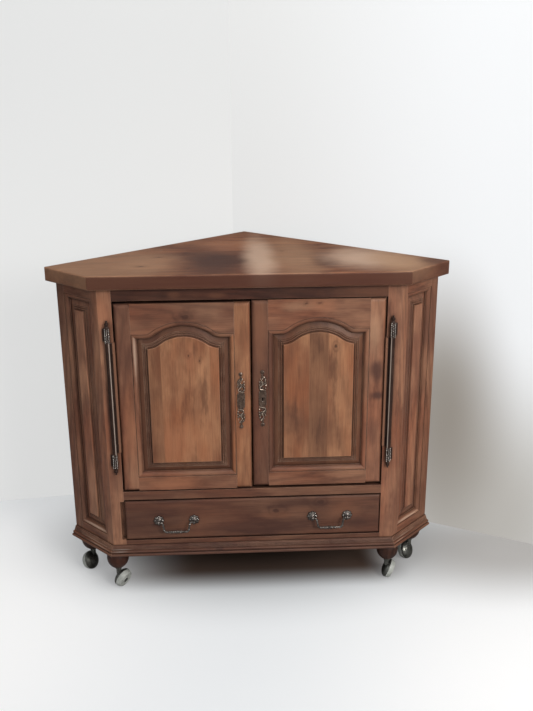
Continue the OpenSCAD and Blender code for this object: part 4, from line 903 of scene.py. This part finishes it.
# on each half of an escutcheon, in millimetres: a scrolled strand, and beads with their radii
plateSettings = {
    "strand": [(4.0, 55.0), (0.5, 52.0), (-2.5, 47.0), (0.8, 41.0), (-0.8, 35.0), (-5.8, 30.0),
               (-5.0, 25.0), (0.0, 23.2), (6.0, 22.5)],
    "beads": [(0.0, 68.6, 2.4), (3.8, 56.5, 1.9), (7.2, 49.0, 1.3), (8.4, 41.5, 1.5), (8.6, 34.5, 1.6),
              (7.8, 27.5, 1.5), (7.0, 21.5, 1.3), (-7.4, 43.5, 1.4), (-7.8, 36.0, 1.2), (-4.6, 51.5, 1.2)],
    "proud": 0.0018, "beadLift": 0.0002, "beadSquash": (1.0, 0.8, 1.0), "steps": 4,
    "thick": 0.0011, "ends": 0.55, "swell": 0.45, "sides": 8,
}


def makePlateChasing(side, settings):
    low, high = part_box("escutcheon_" + side)
    middle, surface = (low + high) / 2, frontY - settings["proud"]

    def onPlate(x, z, way, lift):
        return Vector((middle.x + way * x / 1000, surface - lift, middle.z + way * z / 1000))

    work = bmesh.new()
    for way in (1, -1):
        line = [onPlate(x, z, way, 0.0) for x, z in settings["strand"]]
        addStrand(work, smoothCurve(line, settings["steps"]), settings)
        for x, z, radius in settings["beads"]:
            place = onPlate(x, z, way, settings["beadLift"])
            addBead(work, place, radius / 1000, settings["beadSquash"])
    finishPiece(work, "plateChasing_" + side, "door_" + side, chasingWork)


for side in sides:
    makeBailBeads(side, bailBeads)
    makeKnuckleBeads(side, knuckleSettings)
    makePlateChasing(side, plateSettings)
print("corner cabinet: chasing added to the ironwork")


# The room corner: a pale floor and two pale walls that can be seen from inside only
brightFloor = (0.97, 0.97, 0.97)
leftWallTone = (0.80, 0.805, 0.80)
room = {
    "corner": (-0.034, 0.343), "reach": 6.0, "height": 5.0,
    "spotFade": (1.35, 0.2), "grainNoise": (3.0, 3.0), "grain": 0.02, "grainTone": (0.6, 0.6, 0.6),
    "roughness": 0.75, "specular": 0.2,
}
# a spot has its middle, its reach and its tone
floorSettings = {
    "tone": (0.81, 0.832, 0.85), "glow": 0.56, "share": 0.52,
    # painted light and shade on the floor: painted pools of light at the front right and on the left, and
    # painted shade to the right of the cabinet
    "front": ((0.75, -0.75, 0.0), (0.6, 0.6, 0.6), brightFloor),
    "spots": [((0.72, -0.14, 0.0), (0.42, 0.24, 1.0), (0.48, 0.465, 0.45)),
              ((-0.85, -0.4, 0.0), (0.62, 0.75, 0.6), brightFloor)],
    "dull": ((0.0, -0.02, 0.0), (0.56, 0.36, 1.0)),
    "underX": ((-0.47, -0.15), (0.44, 0.30)), "underY": ((-0.305, -0.195), (0.30, 0.10)),
    "under": 0.95, "underTone": (0.07, 0.03, 0.012),
}
# painted shade on the walls: the left wall is painted darker than the right and darker towards its top; the
# right wall has a painted soft shadow beside the cabinet, darkest low down, and towards the corner it fades
# to the left wall's tone, so there is no hard line in the corner
wallSettings = {
    "Left": {"way": -1, "slope": 0.125, "tone": leftWallTone, "glow": 0.76, "share": 0.28, "spots": [],
             "fade": {"axis": 2, "between": (0.75, 1.5, 0.0, 0.3), "tone": (0.60, 0.61, 0.615)}},
    "Right": {"way": 1, "slope": -0.545, "tone": (0.885, 0.90, 0.915), "glow": 0.76, "share": 0.28,
              "spots": [((0.66, -0.02, 0.08), (0.42, 0.42, 0.42), (0.50, 0.482, 0.45)),
                        ((0.56, 0.064, 0.36), (0.20, 0.2, 0.40), (0.30, 0.268, 0.232))],
              "fade": {"axis": 0, "between": (0.666, -0.034), "tone": leftWallTone}},
}


def smoothSpot(tree, place, middle, reach):
    away = vectors(tree, "DIVIDE", vectors(tree, "SUBTRACT", place, middle), reach)
    return spread(tree, vectors(tree, "LENGTH", away), *room["spotFade"])


def addGrain(tree, place, tone):
    grain = times(tree, noise(tree, place, *room["grainNoise"]), room["grain"])
    return blendColours(tree, grain, tone, room["grainTone"])


def paintSpots(tree, place, tone, spots):
    return paint(tree, tone, [(smoothSpot(tree, place, *where), shade) for *where, shade in spots])


def finishPale(tree, shader, tone, share, glow):
    # part of the backdrop's brightness is its own, for the camera alone
    seen = tree.nodes.new("ShaderNodeLightPath").outputs["Is Camera Ray"]
    fill(tree, shader, Base_Color=blendColours(tree, 1.0 - share, tone, (0, 0, 0)), Emission_Color=tone,
         Emission_Strength=times(tree, seen, glow), Roughness=room["roughness"],
         Specular_IOR_Level=room["specular"])


def seeFromInside(tree, shader):
    facing = tree.nodes.new("ShaderNodeNewGeometry").outputs["Backfacing"]
    clear = tree.nodes.new("ShaderNodeBsdfTransparent")
    choice = tree.nodes.new("ShaderNodeMixShader")
    for output, socket in zip((facing, shader.outputs[0], clear.outputs[0]), choice.inputs):
        plug(tree, output, socket)
    plug(tree, choice.outputs[0], tree.nodes["Material Output"].inputs["Surface"])


def makeSheet(name, corners, material):
    mesh = bpy.data.meshes.new(name)
    mesh.from_pydata([Vector(c) for c in corners], [], [tuple(range(len(corners)))])
    mesh.materials.append(material)
    sheet = bpy.data.objects.new(name, mesh)
    scene.collection.objects.link(sheet)


def makeFloor(settings):
    material, tree, shader = newMaterial("paleFloor")
    place = objectSpace(tree)
    tone = addGrain(tree, place, paintSpots(tree, place, settings["tone"], [settings["front"]]))
    tone = paintSpots(tree, place, tone, settings["spots"])
    # the deep brown shadow under the cabinet, where the floor has no brightness of its own
    x, y = splitVector(tree, place)[0:2]
    sidesOfShadow = [spread(tree, x, *edge) for edge in settings["underX"]]
    sidesOfShadow += [spread(tree, y, *edge) for edge in settings["underY"]]
    under = combine(tree, "MULTIPLY", sidesOfShadow)
    tone = blendColours(tree, times(tree, under, settings["under"]), tone, settings["underTone"])
    # round the cabinet the floor has no glow of its own, a painted shade where its shadow falls
    lit = minus(tree, 1.0, smoothSpot(tree, place, *settings["dull"]))
    finishPale(tree, shader, tone, settings["share"], times(tree, lit, settings["glow"]))
    reach = room["reach"]
    corners = [(-reach, -reach, 0), (reach, -reach, 0), (reach, reach, 0), (-reach, reach, 0)]
    makeSheet("floorSheet", corners, material)


def makeWall(side, settings):
    material, tree, shader = newMaterial("paleWall" + side)
    place = objectSpace(tree)
    tone = paintSpots(tree, place, addGrain(tree, place, settings["tone"]), settings["spots"])
    fade = settings["fade"]
    faded = spread(tree, splitVector(tree, place)[fade["axis"]], *fade["between"])
    tone = blendColours(tree, faded, tone, fade["tone"])
    finishPale(tree, shader, tone, settings["share"], settings["glow"])
    seeFromInside(tree, shader)
    reach, height = settings["way"] * room["reach"], room["height"]
    nearX, nearY = room["corner"]
    farX, farY = nearX + reach, nearY + settings["slope"] * reach
    corners = [(farX, farY, 0), (nearX, nearY, 0), (nearX, nearY, height), (farX, farY, height)]
    # each wall faces into the room
    makeSheet("wall" + side, corners[::-settings["way"]], material)


makeFloor(floorSettings)
for side, settings in wallSettings.items():
    makeWall(side, settings)

# a lamp has its name, place, aim, size, power and tone
lightSettings = {
    "world": (0.96, 0.98, 1.0), "worldStrength": 0.44,
    "lamps": [
        ("frontWindow", (1.7, -2.9, 1.9), (0.0, 0.0, 0.45), 1.3, 62, (1.0, 0.98, 0.95)),
        ("sideWindow", (3.0, -0.9, 1.3), (0.1, -0.2, 0.5), 1.0, 46, (1.0, 0.98, 0.96)),
        ("ceiling", (0.1, -0.75, 2.6), (0.0, -0.1, 0.5), 1.4, 17, (1.0, 0.98, 0.95)),
        ("leftFill", (-2.2, -2.4, 2.2), (0.0, 0.0, 0.4), 2.2, 8, (0.93, 0.97, 1.0)),
    ],
}


def makeLight(settings):
    world = bpy.data.worlds.new("softRoom")
    world.use_nodes = True
    tree = world.node_tree
    fill(tree, tree.nodes["Background"], Color=settings["world"], Strength=settings["worldStrength"])
    scene.world = world
    for name, place, aim, size, power, tone in settings["lamps"]:
        data = bpy.data.lights.new(name, "AREA")
        data.shape, data.size, data.energy, data.color = "DISK", size, power, tone
        light = bpy.data.objects.new(name, data)
        light.location = place
        ahead = Vector(aim) - Vector(place)
        light.rotation_euler = ahead.to_track_quat("-Z", "Y").to_euler()
        scene.collection.objects.link(light)


makeLight(lightSettings)
scene.view_settings.view_transform = "Standard"
print("corner cabinet: stage and light set")
